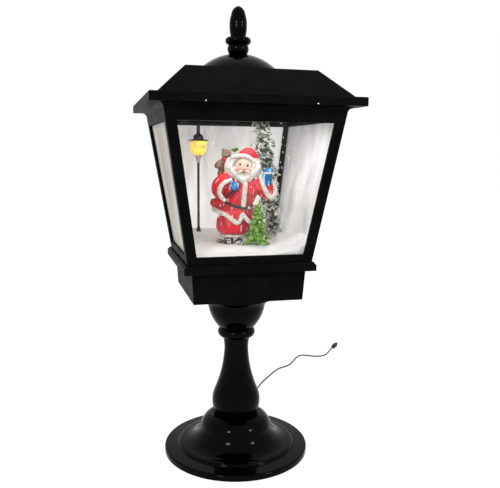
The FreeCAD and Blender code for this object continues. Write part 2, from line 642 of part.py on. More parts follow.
def make_box():
    outer = square("box_outer", [(s.box_foot_half, s.box_bottom),
                                 (s.box_top_half, s.plinth_bottom)])
    rise = (s.box_top_half - s.box_foot_half) / (s.plinth_bottom - s.box_bottom)
    inner_foot = s.box_foot_half - s.box_wall + rise * s.box_floor
    hollow = square("box_hollow", [(inner_foot, box_inside),
                                   (s.box_top_half - s.box_wall, s.plinth_bottom)])
    shell = cut("box_shell", outer, hollow)
    adds = [shell]
    cuts = []
    for index, (x, y) in enumerate(corners(s.box_boss_place)):
        adds.append(cylinder("box_boss_%d" % index, s.box_boss_radius, box_inside,
                             s.plinth_bottom, x, y))
        cuts.append(cylinder("box_driver_hole_%d" % index, s.screw_head_radius + s.driver_play,
                             s.box_bottom, s.screw_seat, x, y))
        cuts.append(cylinder("box_screw_hole_%d" % index, s.screw_radius + s.screw_play,
                             s.screw_seat, s.plinth_bottom, x, y))
    half_x = s.board_length / 2 - s.standoff_inset
    half_y = s.board_depth / 2 - s.standoff_inset
    for index, (way_x, way_y) in enumerate(((-1, -1), (1, -1), (1, 1), (-1, 1))):
        adds.append(cylinder("board_standoff_%d" % index, s.standoff_radius, box_inside,
                             box_inside + s.standoff_height,
                             s.board_x + half_x * way_x, s.board_y + half_y * way_y))
    reach = s.switch_length / 2 + s.switch_margin
    adds.append(block("switch_pad", -reach, reach, s.switch_face,
                      s.box_foot_half - 1, s.switch_height - s.switch_width / 2 - s.switch_rim,
                      s.switch_height + s.switch_width / 2 + s.switch_rim))
    half_slot = (s.knob_length + s.switch_travel) / 2 + s.switch_play
    cuts.append(block("switch_slot", -half_slot, half_slot, s.switch_face - 1,
                      s.box_top_half + 1, s.switch_height - s.knob_width / 2 - s.switch_play,
                      s.switch_height + s.knob_width / 2 + s.switch_play))
    cuts.append(cylinder("box_rod_hole", s.rod_radius + s.rod_play, s.box_bottom, box_inside))
    body = cut("box_cut", fused("box_joined", *adds), *cuts)
    vents = []
    for index in range(int(driving_sizes["vent_count"])):
        middle = s.vent_x + s.vent_pitch * (index - (driving_sizes["vent_count"] - 1) / 2)
        vents.append(block("box_vent_%d" % index, middle - s.vent_width / 2,
                           middle + s.vent_width / 2, s.vent_y, s.vent_y + s.vent_length,
                           s.box_bottom, box_inside))
    keep("control_box", cut("control_box", body, *vents))
    keep("plinth_screws", group("plinth_screws", [
        screw("plinth_screw_%d" % i, x, y, s.screw_seat, s.plinth_bottom + s.screw_bite)
        for i, (x, y) in enumerate(corners(s.box_boss_place))]))


gutter_front = -(s.cage_foot_half - s.post_width - s.deck_play) + 1
gutter_back = s.bed_front - 1.0


def make_plinth():
    outer = square("plinth_outer", [(s.plinth_half, s.plinth_bottom),
                                    (s.plinth_half, s.plinth_bottom + s.plinth_edge),
                                    (s.plinth_top_half, s.plinth_top, -0.6)])
    hollow = square("plinth_hollow", [(s.plinth_hollow_half, s.plinth_bottom),
                                      (s.plinth_hollow_half, plinth_under)])
    bosses = []
    cuts = []
    for index, (x, y) in enumerate(corners(s.box_boss_place)):
        bosses.append(cylinder("plinth_boss_%d" % index, s.box_boss_radius,
                               s.plinth_bottom, plinth_under, x, y))
        cuts.append(cylinder("plinth_pilot_%d" % index, s.screw_radius, s.plinth_bottom,
                             s.plinth_bottom + s.screw_bite, x, y))
    for index, (x, y) in enumerate(corners(s.cage_foot_half - s.post_width / 2)):
        cuts.append(cylinder("plinth_counterbore_%d" % index, s.screw_head_radius + s.driver_play,
                             s.plinth_bottom, plinth_under, x, y))
        cuts.append(cylinder("plinth_post_hole_%d" % index, s.screw_radius + s.screw_play,
                             plinth_under, s.plinth_top, x, y))
    cuts.append(cylinder("plinth_riser_hole", s.riser_radius - s.riser_wall, plinth_under,
                         s.plinth_top, *riser_foot))
    cuts.append(block("plinth_gutter", -s.gutter_half, s.gutter_half, gutter_front,
                      gutter_back, plinth_under, s.plinth_top))
    body = fused("plinth_joined", cut("plinth_shell", outer, hollow), *bosses)
    keep("plinth", cut("plinth", body, *cuts))
    keep("post_screws", group("post_screws", [
        screw("post_screw_%d" % i, x, y, plinth_under, s.plinth_top + s.post_screw_bite)
        for i, (x, y) in enumerate(corners(s.cage_foot_half - s.post_width / 2))]))


# ---- leaning cage ---------------------------------------------------------------------------

lean = (s.cage_top_half - s.cage_foot_half) / (s.cage_top - s.plinth_top)


def cage_half(height):
    """Half width over the outer faces of the cage at a height."""
    return s.cage_foot_half + lean * (as_size(height) - s.plinth_top)


def post_section(height):
    """The post at the rear right corner, rebated for the panes on both sides."""
    out = cage_half(height)
    near = out - s.post_width
    rebate = near + s.rebate_width
    lip = out - s.lip_depth
    return [(near, out), (near, lip), (rebate, lip), (rebate, rebate), (lip, rebate),
            (lip, near), (out, near), (out, out)]


side_turns = (("front", 0), ("right", 90), ("rear", 180), ("left", 270))


def make_cage():
    foot_place = s.cage_foot_half - s.post_width / 2
    for name, turn in (("rear_right_post", 0), ("rear_left_post", 90),
                       ("front_left_post", 180), ("front_right_post", 270)):
        blank = lofted(name + "_blank", [(s.plinth_top, post_section(s.plinth_top)),
                                         (s.cage_top, post_section(s.cage_top))])
        pilot = cylinder(name + "_pilot", s.screw_radius, s.plinth_top,
                         s.plinth_top + s.post_screw_bite, foot_place, foot_place)
        post = cut(name, blank, pilot)
        post.Placement = FreeCAD.Placement(Vector(), FreeCAD.Rotation(Vector(0, 0, 1), turn))
        keep(name, post)

    for name, low, high, window in (
            ("bottom_rails", s.plinth_top, s.window_bottom, "above"),
            ("top_rails", s.window_top, s.cage_top, "below")):
        rails = []
        for side, turn in side_turns:
            rails.append(make_rail("%s_%s" % (name, side), low, high, window, turn))
        keep(name, group(name, rails))


def make_rail(name, low, high, window, turn):
    """One rail of the front, between two posts, rebated on the window's side."""
    def front(height, inset):
        return -(cage_half(height) - inset)

    low, high = as_size(low), as_size(high)
    depth = s.post_width
    if window == "above":
        step = high - s.rebate_width
        section = [(front(low, 0), low), (front(low, depth), low), (front(step, depth), step),
                   (front(step, s.lip_depth), step), (front(high, s.lip_depth), high),
                   (front(high, 0), high)]
    else:
        step = low + s.rebate_width
        section = [(front(low, 0), low), (front(low, s.lip_depth), low),
                   (front(step, s.lip_depth), step), (front(step, depth), step),
                   (front(high, depth), high), (front(high, 0), high)]
    bar = extruded(name + "_bar", section, 90, s.cage_top_half * 2)
    ends = [(cage_half(low) - depth, low), (cage_half(high) - depth, high),
            (-(cage_half(high) - depth), high), (-(cage_half(low) - depth), low)]
    trim = extruded(name + "_trim", ends, 0, s.cage_top_half * 2 + 20)
    rail = common(name, bar, trim)
    rail.Placement = FreeCAD.Placement(Vector(), FreeCAD.Rotation(Vector(0, 0, 1), turn))
    return rail


def make_panes():
    play = s.pane_height_play
    low = s.window_bottom - s.rebate_width + play
    high = s.window_top + s.rebate_width - play

    def section(height):
        half = cage_half(height) - s.post_width + s.rebate_width - play
        face = -(cage_half(height) - s.lip_depth)
        return rectangle(-half, half, face, face + s.pane_thickness)

    for side, turn in side_turns:
        pane = lofted(side + "_pane_sheet", [(low, section(low)), (high, section(high))])
        pane.Placement = FreeCAD.Placement(Vector(), FreeCAD.Rotation(Vector(0, 0, 1), turn))
        keep(side + "_pane", pane)


# ---- cornice and roof -----------------------------------------------------------------------

def make_roof():
    soffit_top = s.cove_top + s.soffit_skin
    inside_half = s.eave_half - s.roof_wall
    tray = square("cornice_outer", [
        (s.cage_top_half, s.cage_top), (s.cove_half, s.cove_top, -s.cove_bow),
        (inside_half - s.roof_play, s.cove_top), (inside_half - s.roof_play, soffit_top)])
    tray_half = s.cage_top_half - s.tray_rim
    hollow = square("cornice_hollow", [(tray_half, s.cage_top + s.soffit_skin),
                                       (tray_half, soffit_top)])
    screw_places = corners(s.roof_screw_place)
    adds = [cut("cornice_tray", tray, hollow)]
    cuts = []
    for index, (x, y) in enumerate(screw_places):
        adds.append(cylinder("cornice_boss_%d" % index, s.roof_boss_radius,
                             s.cage_top + s.soffit_skin, soffit_top, x, y))
        cuts.append(cylinder("cornice_hole_%d" % index, s.screw_radius + s.screw_play, s.cage_top,
                             soffit_top, x, y))
    keep("cornice", cut("cornice", fused("cornice_joined", *adds), *cuts))

    slope_run = s.slope_foot_half - s.roof_top_half
    slope_rise = s.roof_top - s.eave_top
    slope_length = root(slope_run * slope_run + slope_rise * slope_rise)
    inner_run = s.roof_wall * slope_length / slope_rise
    outer = square("roof_outer", [
        (s.eave_half, s.cove_top), (s.eave_half, s.eave_top - s.eave_round),
        (s.eave_half - s.eave_round, s.eave_top, s.eave_round * quarter_bow),
        (s.slope_foot_half, s.eave_top), (s.roof_top_half, s.roof_top)])
    inner_slope = slope_run / slope_rise
    hollow_foot = s.slope_foot_half - inner_run + inner_slope * s.roof_wall
    hollow_head = s.roof_top_half - inner_run + inner_slope * s.roof_wall
    hollow = square("roof_hollow", [
        (inside_half, s.cove_top), (inside_half, s.eave_top - s.roof_wall),
        (hollow_foot, s.eave_top - s.roof_wall), (hollow_head, s.roof_top - s.roof_wall)])
    bosses = []
    cuts = [cylinder("roof_bolt_hole", s.bolt_radius + s.bolt_play, s.roof_top - s.roof_wall,
                     s.roof_top)]
    for index, (x, y) in enumerate(screw_places):
        bosses.append(cylinder("roof_boss_%d" % index, s.roof_boss_radius, soffit_top,
                               s.roof_top, x, y))
        cuts.append(cylinder("roof_pilot_%d" % index, s.screw_radius, soffit_top,
                             soffit_top + s.roof_screw_bite, x, y))
    legs = common("roof_legs", fused("roof_bosses", *bosses), square("roof_limit", [
        (s.eave_half, s.cove_top), (s.eave_half, s.eave_top),
        (s.slope_foot_half, s.eave_top), (s.roof_top_half, s.roof_top)]))
    body = fused("roof_joined", cut("roof_skin", outer, hollow), legs)
    keep("roof_shell", cut("roof_shell", body, *cuts))

    plate_half = cage_half(s.cage_top - s.ceiling_height) - s.post_width - s.deck_play
    plate_low = s.cage_top - s.ceiling_height
    plate = square("ceiling_blank", [(plate_half, plate_low), (plate_half, s.cage_top)])
    keep("ceiling_plate", cut("ceiling_plate", plate, *[
        cylinder("ceiling_hole_%d" % i, s.screw_radius + s.screw_play, plate_low, s.cage_top, x, y)
        for i, (x, y) in enumerate(screw_places)]))
    keep("roof_screws", group("roof_screws", [
        screw("roof_screw_%d" % i, x, y, plate_low, soffit_top + s.roof_screw_bite)
        for i, (x, y) in enumerate(screw_places)]))

    bar_y = -s.light_bar_reach
    bar_low = plate_low - s.light_bar_thickness
    bar = block("light_bar", -s.light_bar_half, s.light_bar_half, bar_y - s.light_bar_width / 2,
                bar_y + s.light_bar_width / 2, bar_low, plate_low)
    lights = [bar]
    half = s.light_width / 2
    for index in range(int(driving_sizes["light_count"])):
        middle = s.light_pitch * (index - (driving_sizes["light_count"] - 1) / 2)
        lights.append(block("light_%d" % index, middle - half, middle + half, bar_y - half,
                            bar_y + half, bar_low - s.light_height, bar_low))
    keep("light_board", fused("light_board", *lights))


dome_centre = s.roof_top - root(s.dome_sphere * s.dome_sphere - s.dome_radius * s.dome_radius)


def dome_height(radius, sphere):
    return dome_centre + root(sphere * sphere - as_size(radius) * radius)


def arc_bow(first, last, radius):
    """Rise of the arc of a given radius between two points."""
    run = as_size(last[0]) - first[0]
    climb = as_size(last[1]) - first[1]
    return radius - root(radius * radius - (run * run + climb * climb) / 4)


def make_dome_and_finial():
    inner = s.dome_sphere - s.dome_wall
    hole = s.bolt_radius + s.bolt_play
    foot_radius = root(inner * inner - (s.roof_top - dome_centre) * (s.roof_top - dome_centre))
    seat = dome_height(s.finial_seat, s.dome_sphere)
    foot = (s.dome_radius, s.roof_top)
    top = (s.finial_seat, seat)
    under_top = (hole, dome_height(hole, inner))
    under_foot = (foot_radius, s.roof_top)
    keep("roof_dome", turned("roof_dome", [
        foot, top + (arc_bow(foot, top, s.dome_sphere),), (hole, seat),
        under_top, under_foot + (-arc_bow(under_top, under_foot, inner),)]))

    def up(distance):
        return s.finial_top - distance

    keep("finial", turned("finial", [
        (hole, seat), (s.finial_seat, seat),
        (14.0, up(55.2), 2.6),
        (14.5, up(44.3), 5.0),
        (11.3, up(43.0), -0.3),
        (12.95, up(28.0), 0.5),
        (10.5, up(11.4), 0.9),
        (4.5, up(1.4), 1.3),
        (1.0, s.finial_top, 0.35),
        (0, s.finial_top),
        (0, up(s.bolt_depth - s.bolt_tip_room)), (hole, up(s.bolt_depth))]))
    head_top = s.roof_top - s.roof_wall
    head = padded("finial_bolt_head", hexagon(s.bolt_head_width),
                  head_top - s.bolt_head_height, s.bolt_head_height)
    shank = cylinder("finial_bolt_shank", s.bolt_radius, head_top,
                     up(s.bolt_depth + s.bolt_tip_room))
    keep("finial_bolt", fused("finial_bolt", head, shank))


# ---- blower, board and switch ---------------------------------------------------------------

def make_blower():
    x, y = s.blower_x, s.blower_y
    floor_top = box_inside + s.housing_wall
    spout_x, spout_y = riser_foot
    spout_bore = s.riser_radius - s.riser_wall
    can = fused("housing_joined",
                cylinder("housing_can", s.housing_radius, box_inside, s.housing_top, x, y),
                cylinder("housing_spout", spout_bore + s.spout_wall, box_inside, plinth_under,
                         spout_x, spout_y))
    keep("blower_housing", cut(
        "blower_housing", can,
        cylinder("housing_room", s.housing_radius - s.housing_wall, floor_top, s.housing_top,
                 x, y),
        cylinder("housing_way_up", spout_bore, floor_top, plinth_under, spout_x, spout_y)))
    cover_top = s.housing_top + s.cover_height
    lid = fused("cover_joined",
                cylinder("cover_disc", s.housing_radius, s.housing_top, cover_top, x, y),
                cylinder("cover_mouth", s.inlet_radius + s.inlet_wall, s.housing_top,
                         cover_top + s.inlet_lip, x, y))
    keep("blower_cover", cut(
        "blower_cover", lid,
        cylinder("cover_inlet", s.inlet_radius, s.housing_top, cover_top + s.inlet_lip, x, y),
        cylinder("cover_notch", spout_bore + s.spout_wall + s.spout_play, s.housing_top,
                 cover_top, spout_x, spout_y)))
    motor_top = floor_top + s.motor_height
    shaft_foot = s.impeller_foot - s.shaft_length
    motor = turned("motor_can", [
        (0, floor_top), (s.motor_radius, floor_top),
        (s.motor_radius, motor_top - s.motor_edge),
        (s.motor_radius - s.motor_edge, motor_top, s.motor_edge * 0.3),
        (s.shaft_radius + s.shaft_play, motor_top),
        (s.shaft_radius + s.shaft_play, shaft_foot - s.shaft_end_play),
        (0, shaft_foot - s.shaft_end_play)])
    keep("blower_motor", place(motor, x, y))

    wheel = document.addObject("PartDesign::Body", "blower_impeller")
    place(wheel, x, y)
    profile = sketch_on(wheel, "impeller_profile", "XZ_Plane")
    disc_top = s.impeller_foot + s.impeller_disc
    draw(profile, [
        (0, shaft_foot), (s.shaft_radius, shaft_foot),
        (s.shaft_radius, s.impeller_foot - s.hub_edge),
        (s.hub_disc_radius, s.impeller_foot - s.hub_edge),
        (s.hub_disc_radius + s.hub_edge, s.impeller_foot),
        (s.impeller_radius, s.impeller_foot), (s.impeller_radius, disc_top),
        (s.hub_disc_radius + s.hub_edge, disc_top),
        (s.hub_disc_radius, disc_top + s.hub_edge),
        (s.hub_disc_radius - s.hub_edge, disc_top + s.blade_height - s.hub_gap),
        (0, disc_top + s.blade_height - s.hub_gap)])
    spin = wheel.newObject("PartDesign::Revolution", "impeller_disc_turn")
    spin.Profile = profile
    spin.ReferenceAxis = (profile, ["V_Axis"])
    spin.Angle = 360.0
    blade_sketch = sketch_on(wheel, "blade_outline", "XY_Plane", disc_top)
    tip = s.impeller_radius - 2.2
    draw(blade_sketch, [
        (s.blade_root, 0), (tip, s.blade_sweep, -s.blade_bow),
        (tip + 0.4, s.blade_sweep + s.blade_thickness),
        (s.blade_root - 0.3, s.blade_thickness + 0.1, s.blade_bow)])
    blade = wheel.newObject("PartDesign::Pad", "blade_pad")
    blade.Profile = blade_sketch
    bind(blade, "Length", s.blade_height)
    document.recompute()
    pattern = wheel.newObject("PartDesign::PolarPattern", "blade_pattern")
    pattern.Originals = [blade]
    pattern.Axis = (profile, ["V_Axis"])
    pattern.Angle = 360.0
    bind(pattern, "Occurrences", s.blade_count)
    wheel.Tip = pattern
    keep("blower_impeller", wheel)


def make_electrics():
    half_x = s.board_length / 2
    half_y = s.board_depth / 2
    low = box_inside + s.standoff_height
    high = low + s.board_thickness
    x, y = s.board_x, s.board_y
    pieces = [
        block("board_sheet", x - half_x, x + half_x, y - half_y, y + half_y, low, high),
        block("board_chip", x - 8, x + 4, y - 6, y + 2, high, high + 2.5),
        block("board_socket", x + 14, x + 24, y - 4, y + 6, high, high + 6.5),
        block("board_driver", x - 24, x - 14, y + 6, y + 14, high, high + 4),
        cylinder("board_capacitor", 4, high, high + 9, x - 20, y - 10),
        cylinder("board_capacitor_small", 2.5, high, high + 6, x + 12, y - 14),
    ]
    keep("control_board", fused("control_board", *pieces))

    height = s.switch_height
    face = s.switch_face
    body = block("switch_block", -s.switch_length / 2, s.switch_length / 2,
                 face - s.switch_depth, face, height - s.switch_width / 2,
                 height + s.switch_width / 2)
    half_room = (s.slider_length + s.switch_travel) / 2 + s.switch_play
    half_high = s.slider_width / 2 + s.switch_play
    room = block("switch_room", -half_room, half_room, face - s.slider_depth - s.switch_play * 2,
                 face, height - half_high, height + half_high)
    keep("switch_body", cut("switch_body", body, room))
    low_x = knob_rest - s.slider_length / 2
    base = block("slider_base", low_x, low_x + s.slider_length,
                 face - s.slider_depth - s.switch_play, face - s.switch_play,
                 height - s.slider_width / 2, height + s.slider_width / 2)
    knob = block("slider_knob", knob_rest - s.knob_length / 2, knob_rest + s.knob_length / 2,
                 face - s.switch_play, s.knob_reach, height - s.knob_width / 2,
                 height + s.knob_width / 2)
    ridges = []
    for index in (-1, 0, 1):
        middle = knob_rest + s.groove_pitch * index
        half = s.knob_groove / 2
        ridges.append(block("slider_groove_%d" % (index + 1), middle - half, middle + half,
                            s.knob_reach - s.groove_depth, s.knob_reach, height - s.knob_width / 2,
                            height + s.knob_width / 2))
    keep("switch_slider", cut("switch_slider", fused("slider_joined", base, knob), *ridges))


# ---- snow scene -----------------------------------------------------------------------------

def riser_x(height):
    share = (as_size(height) - s.plinth_top) / (s.cage_top - s.ceiling_height - s.plinth_top)
    return s.riser_foot_x + (s.riser_head_x - s.riser_foot_x) * share


def leaning_form(name, rows, bore=None):
    """A round form on the riser's leaning axis, with level ends, from (height, radius) rows."""
    body = document.addObject("PartDesign::Body", name)
    passes = [("outer", "PartDesign::AdditiveLoft", rows)]
    if bore is not None:
        ends = [(rows[0][0], bore), (rows[-1][0], bore)]
        passes.append(("bore", "PartDesign::SubtractiveLoft", ends))
    for way, kind, stations in passes:
        sketches = []
        for index, (height, radius) in enumerate(stations):
            sketch = sketch_on(body, "%s_%s_%d" % (name, way, index), "XY_Plane", height)
            draw_circle(sketch, radius, riser_x(height), s.riser_y)
            sketches.append(sketch)
        loft = body.newObject(kind, "%s_%s" % (name, way))
        loft.Profile = sketches[0]
        loft.Sections = sketches[1:]
        loft.Ruled = True
    return body


def ellipse_loft(name, rows):
    """A soft form through level ellipses: x, y, height, half width, half depth. The rows
    are written for the figure's drawn height and follow its own size."""
    unit = s.figure_height / drawn_height
    sections = []
    for index, (x, y, z, wide, deep) in enumerate(rows):
        ellipse = document.addObject("Part::Ellipse", "%s_ring_%d" % (name, index))
        turn = 0 if wide >= deep else 90
        bind(ellipse, "MajorRadius", unit * max(wide, deep))
        bind(ellipse, "MinorRadius", unit * min(wide, deep))
        ellipse.Placement.Rotation = FreeCAD.Rotation(Vector(0, 0, 1), turn)
        place(ellipse, unit * x, s.figure_y + unit * y, s.seat_height + unit * z)
        sections.append(ellipse)
    loft = document.addObject("Part::Loft", name)
    loft.Sections = sections
    loft.Solid = True
    loft.Ruled = False
    return loft


def make_scene():
    deck_half = s.cage_foot_half - s.post_width - s.deck_play
    deck = square("deck_blank", [(deck_half, s.plinth_top), (deck_half, s.deck_top)])
    hole = s.riser_radius + s.deck_hole_play
    slots = [cylinder("deck_riser_hole", hole, s.plinth_top, s.deck_top,
                      *riser_foot)]
    for index in range(int(driving_sizes["gutter_slots"])):
        middle = s.gutter_pitch * (index - (driving_sizes["gutter_slots"] - 1) / 2)
        slots.append(block("deck_slot_%d" % index, middle - s.gutter_slot / 2,
                           middle + s.gutter_slot / 2, gutter_front, gutter_back,
                           s.plinth_top, s.deck_top))
    keep("snow_deck", cut("snow_deck", deck, *slots))

    slope = [(s.bed_front, s.deck_top), (deck_half, s.deck_top),
             (deck_half, s.bed_back_height),
             (s.seat_back, s.seat_height, -s.bed_back_bow), (s.seat_front, s.seat_height),
             (s.bed_front, s.bed_front_height, -s.bed_front_bow)]
    hill = extruded("snow_hill", slope, 90, deck_half * 2)
    over_bed = s.bed_back_height + 6
    tunnel_radius = s.riser_radius + s.bed_hole_play
    tunnel = leaning_form("snow_tunnel", [(s.plinth_top, tunnel_radius),
                                          (over_bed, tunnel_radius)])
    lamp_hole = cylinder("snow_lamp_hole", s.mini_foot + s.mini_foot_play, s.deck_top,
                         over_bed, s.mini_x, s.mini_y)
    keep("snow_bed", cut("snow_bed", hill, tunnel, lamp_hole))

    riser_top = s.cage_top - s.ceiling_height
    keep("riser_tube", leaning_form(
        "riser_tube", [(s.plinth_top, s.riser_radius), (riser_top, s.riser_radius)],
        s.riser_radius - s.riser_wall))
    garland_low = s.bed_back_height + s.garland_foot_room
    garland_high = riser_top - s.garland_head_room
    span = garland_high - garland_low
    swells = (1.15, 1.32, 1.06, 1.3, 1.04, 1.26, 1.02, 1.2, 1.04, 1.22, 0.96)
    rows = [(garland_low + span * (index / (len(swells) - 1)), s.garland_radius * swell)
            for index, swell in enumerate(swells)]
    keep("garland", leaning_form("garland", rows, s.riser_radius + s.garland_gap))

    lamp_foot = s.bed_back_height
    keep("mini_post", place(turned("mini_post", [
        (0, s.deck_top), (s.mini_foot, s.deck_top),
        (s.mini_foot, lamp_foot + s.mini_pole),
        (s.mini_pole + s.mini_foot_edge, lamp_foot + s.mini_pole + s.mini_foot_cap, -1.0),
        (s.mini_pole, lamp_foot + s.mini_pole + s.mini_foot_cap + s.mini_foot_swell, -0.4),
        (s.mini_pole, s.mini_collar_height),
        (s.mini_pole + s.mini_collar, s.mini_glass_foot, -0.8),
        (0, s.mini_glass_foot)]), s.mini_x, s.mini_y))
    keep("mini_lamp_glass", place(turned("mini_lamp_glass", [
        (0, s.mini_glass_foot), (s.mini_glass_radius * 0.5, s.mini_glass_foot),
        (s.mini_glass_radius, s.mini_glass_top - s.mini_glass_edge, 2.0),
        (s.mini_glass_radius * 0.9, s.mini_glass_top, 0.3), (0, s.mini_glass_top)]),
        s.mini_x, s.mini_y))
    keep("mini_lamp_roof", place(turned("mini_lamp_roof", [
        (0, s.mini_glass_top), (s.mini_roof_radius, s.mini_glass_top),
        (s.mini_roof_radius - s.mini_roof_inset, s.mini_glass_top + s.mini_roof_edge, 0.3),
        (s.mini_tube + s.mini_roof_neck, s.mini_glass_top + s.mini_roof_rise, -1.6),
        (s.mini_tube, s.mini_glass_top + s.mini_tube_foot, 0.4), (s.mini_tube, riser_top),
        (0, riser_top)]), s.mini_x, s.mini_y))


drawn_height = 147.0    # the figure's rings are written down for this height


def make_figure():
    coat = ellipse_loft("figure_coat", [
        (-6, 0, 15.0, 28.5, 19.0), (-6, 0, 20.0, 29.0, 19.5), (-4, 0, 44.0, 25.5, 17.5),
        (-2, 0, 62.0, 23.0, 16.5), (2, 0, 76.0, 25.0, 17.0), (4, 0, 90.0, 25.0, 15.0),
        (6, 0, 99.0, 14.0, 10.0)])
    boots = [ellipse_loft("figure_boot_%d" % i, [
        (x, -5, 0.0, 8.2, 11.0), (x, -5, 2.5, 8.4, 11.2), (x, -3, 7.0, 7.2, 9.0),
        (x, 0, 11.0, 7.2, 7.4), (x, 0, 16.0, 7.6, 7.8)]) for i, x in enumerate((-13.5, 5.0))]
    body = keep("figure_body", fused("figure_body", coat, *boots))
    head = ellipse_loft("figure_head_form", [
        (7, -9, 86.0, 3.5, 3.0), (7, -8, 92.0, 9.5, 7.0), (7, -5, 99.4, 13.8, 10.5),
        (7.5, -3, 108.0, 14.5, 12.5), (7.5, -2, 118.0, 13.2, 12.6),
        (7.5, -2, 125.0, 12.4, 12.2)])
    keep("figure_head", cut("figure_head", head, body))
    keep("figure_hat", ellipse_loft("figure_hat", [
        (8, -2, 125.2, 14.6, 13.6), (8, -2, 131.0, 14.6, 13.6),
        (9, -1, 132.5, 12.8, 12.0), (12, 0, 141.0, 10.5, 9.6), (16, 1, 147.0, 5.5, 5.0)]))
    left = ellipse_loft("figure_arm_left", [
        (-20, -22, 70.0, 9.0, 8.0), (-27, -14, 78.0, 11.0, 9.5),
        (-29.5, -4, 88.0, 8.5, 8.5), (-28, -2, 97.0, 5.0, 5.0)])
    right = ellipse_loft("figure_arm_right", [
        (36, -3, 73.0, 11.0, 8.0), (38, -4, 80.0, 13.0, 8.5), (43, -7, 90.0, 8.0, 7.2),
        (44.6, -9, 102.0, 6.2, 6.0), (45, -9, 112.0, 4.0, 4.0)])
    keep("figure_arms", cut("figure_arms", group("figure_arm_pair", [left, right]), body))
    sack = ellipse_loft("figure_sack_form", [
        (-16, 8, 88.0, 7.0, 6.0), (-22, 14, 103.0, 11.0, 9.0),
        (-26, 17, 116.0, 15.0, 12.0),
        (-24, 17, 128.0, 15.5, 12.5), (-20, 17, 138.0, 12.5, 10.0),
        (-17, 17, 143.0, 8.0, 7.0)])
    keep("figure_sack", cut("figure_sack", sack, body))
    cones = []
    for index, (rise, share) in enumerate(((0.0, 1.0), (0.75, 0.8), (1.375, 0.55))):
        radius = s.tree_radius * share
        cones.append(place(turned("small_tree_tier_%d" % index, [
            (0, 0), (radius, 0), (radius - s.tree_skirt_inset, s.tree_skirt, 0.5),
            (s.tree_tip, s.tree_tier_height - s.tree_tip, -s.tree_tip),
            (0, s.tree_tier_height)]),
            s.tree_x, s.tree_y, s.seat_height + s.tree_tier_height * rise))
    keep("small_tree", fused("small_tree", *cones))


# ---- cord -----------------------------------------------------------------------------------

def corner_arcs(points):
    """Straight runs joined by tangent arcs, each arc as large as its two runs allow."""
    points = [Vector(*p) for p in points]
    edges = []
    radii = []
    length = 0.0
    position = points[0]
    for before, corner, after in zip(points, points[1:], points[2:]):
        back = before - corner
        forth = after - corner
        shorter = min(back.Length, forth.Length)
        back.normalize()
        forth.normalize()
        half_turn = (math.pi - back.getAngle(forth)) / 2
        reach = 0.45 * shorter
        radius = reach / math.tan(half_turn)
        radii.append(radius)
        entry = corner + back * reach
        leave = corner + forth * reach
        inward = back + forth
        inward.normalize()
        centre = corner + inward * (radius / math.cos(half_turn))
        middle = centre - inward * radius
        edges.append(Part.LineSegment(position, entry).toShape())
        edges.append(Part.Arc(entry, middle, leave).toShape())
        length += (entry - position).Length + 2 * half_turn * radius
        position = leave
    edges.append(Part.LineSegment(position, points[-1]).toShape())
    length += (points[-1] - position).Length
    return edges, radii, length


def swept(edges, radius):
    """A round tube along joined edges."""
    path = Part.Wire(edges)
    first = edges[0]
    start = first.valueAt(first.FirstParameter)
    along = first.tangentAt(first.FirstParameter)
    ring = Part.Wire([Part.Circle(start, along, radius).toShape()])
    return path.makePipeShell([ring], True, False)


def cord_tube(name, points, radius):
    edges, radii, length = corner_arcs(points)
    shape = swept(edges, radius)
    expected = math.pi * radius ** 2 * length
    print(name, "length %.1f" % length, "least radius %.1f" % min(radii),
          "radii", [round(r, 1) for r in radii],
          "volume share %.4f" % (shape.Volume / expected))
    feature = document.addObject("Part::Feature", name)
    feature.Shape = shape
    keep(name, feature)
    return length


def biarc(start, start_way, end, end_way):
    """Two arcs, tangent to each other and to the given ways at both ends."""
    between = end - start
    ways = start_way + end_way
    spread = 2 * (1 - start_way.dot(end_way))
    if spread < 1e-9:
        reach = between.Length / 4
    else:
        lead = between.dot(ways)
        reach = (-lead + math.sqrt(lead ** 2 + spread * between.dot(between))) / spread
    middle = (start + end + (start_way - end_way) * reach) * 0.5
    return [tangent_arc(start, start_way, middle), tangent_arc(end, -end_way, middle, True)]


def tangent_arc(start, way, end, backwards=False):
    chord = end - start
    along = chord.dot(way)
    aside = chord - way * along
    if aside.Length < 1e-7:
        line = (end, start) if backwards else (start, end)
        return Part.LineSegment(*line).toShape()
    side = aside * (1 / aside.Length)
    radius = chord.dot(chord) / (2 * aside.Length)
    centre = start + side * radius
    toward = (start + end) * 0.5 - centre
    toward.normalize()
    middle = centre + toward * radius
    if backwards:
        return Part.Arc(end, middle, start).toShape()
    return Part.Arc(start, middle, end).toShape()


def coil_point(turn, layer_turns, low_height):
    """Place after so many turns: spirals in, climbs in half a turn, spirals out again."""
    pitch = driving_sizes["coil_pitch"]
    outer = driving_sizes["coil_outer"]
    inner = outer - pitch * layer_turns
    if turn <= layer_turns:
        radius = outer - pitch * turn
        height = low_height
    elif turn <= layer_turns + 0.5:
        share = (turn - layer_turns) / 0.5
        radius = inner - pitch * (0.25 - abs(turn - layer_turns - 0.25))
        height = low_height + pitch * (3 * share ** 2 - 2 * share ** 3)
    else:
        radius = inner + pitch * (turn - layer_turns - 0.5)
        height = low_height + pitch
    angle = math.pi - 2 * math.pi * turn
    return Vector(driving_sizes["coil_x"] + radius * math.cos(angle),
                  driving_sizes["coil_y"] + radius * math.sin(angle), height)


coil_last_turn = 8.2222     # whole turns in, half a turn up, and out again to the way off


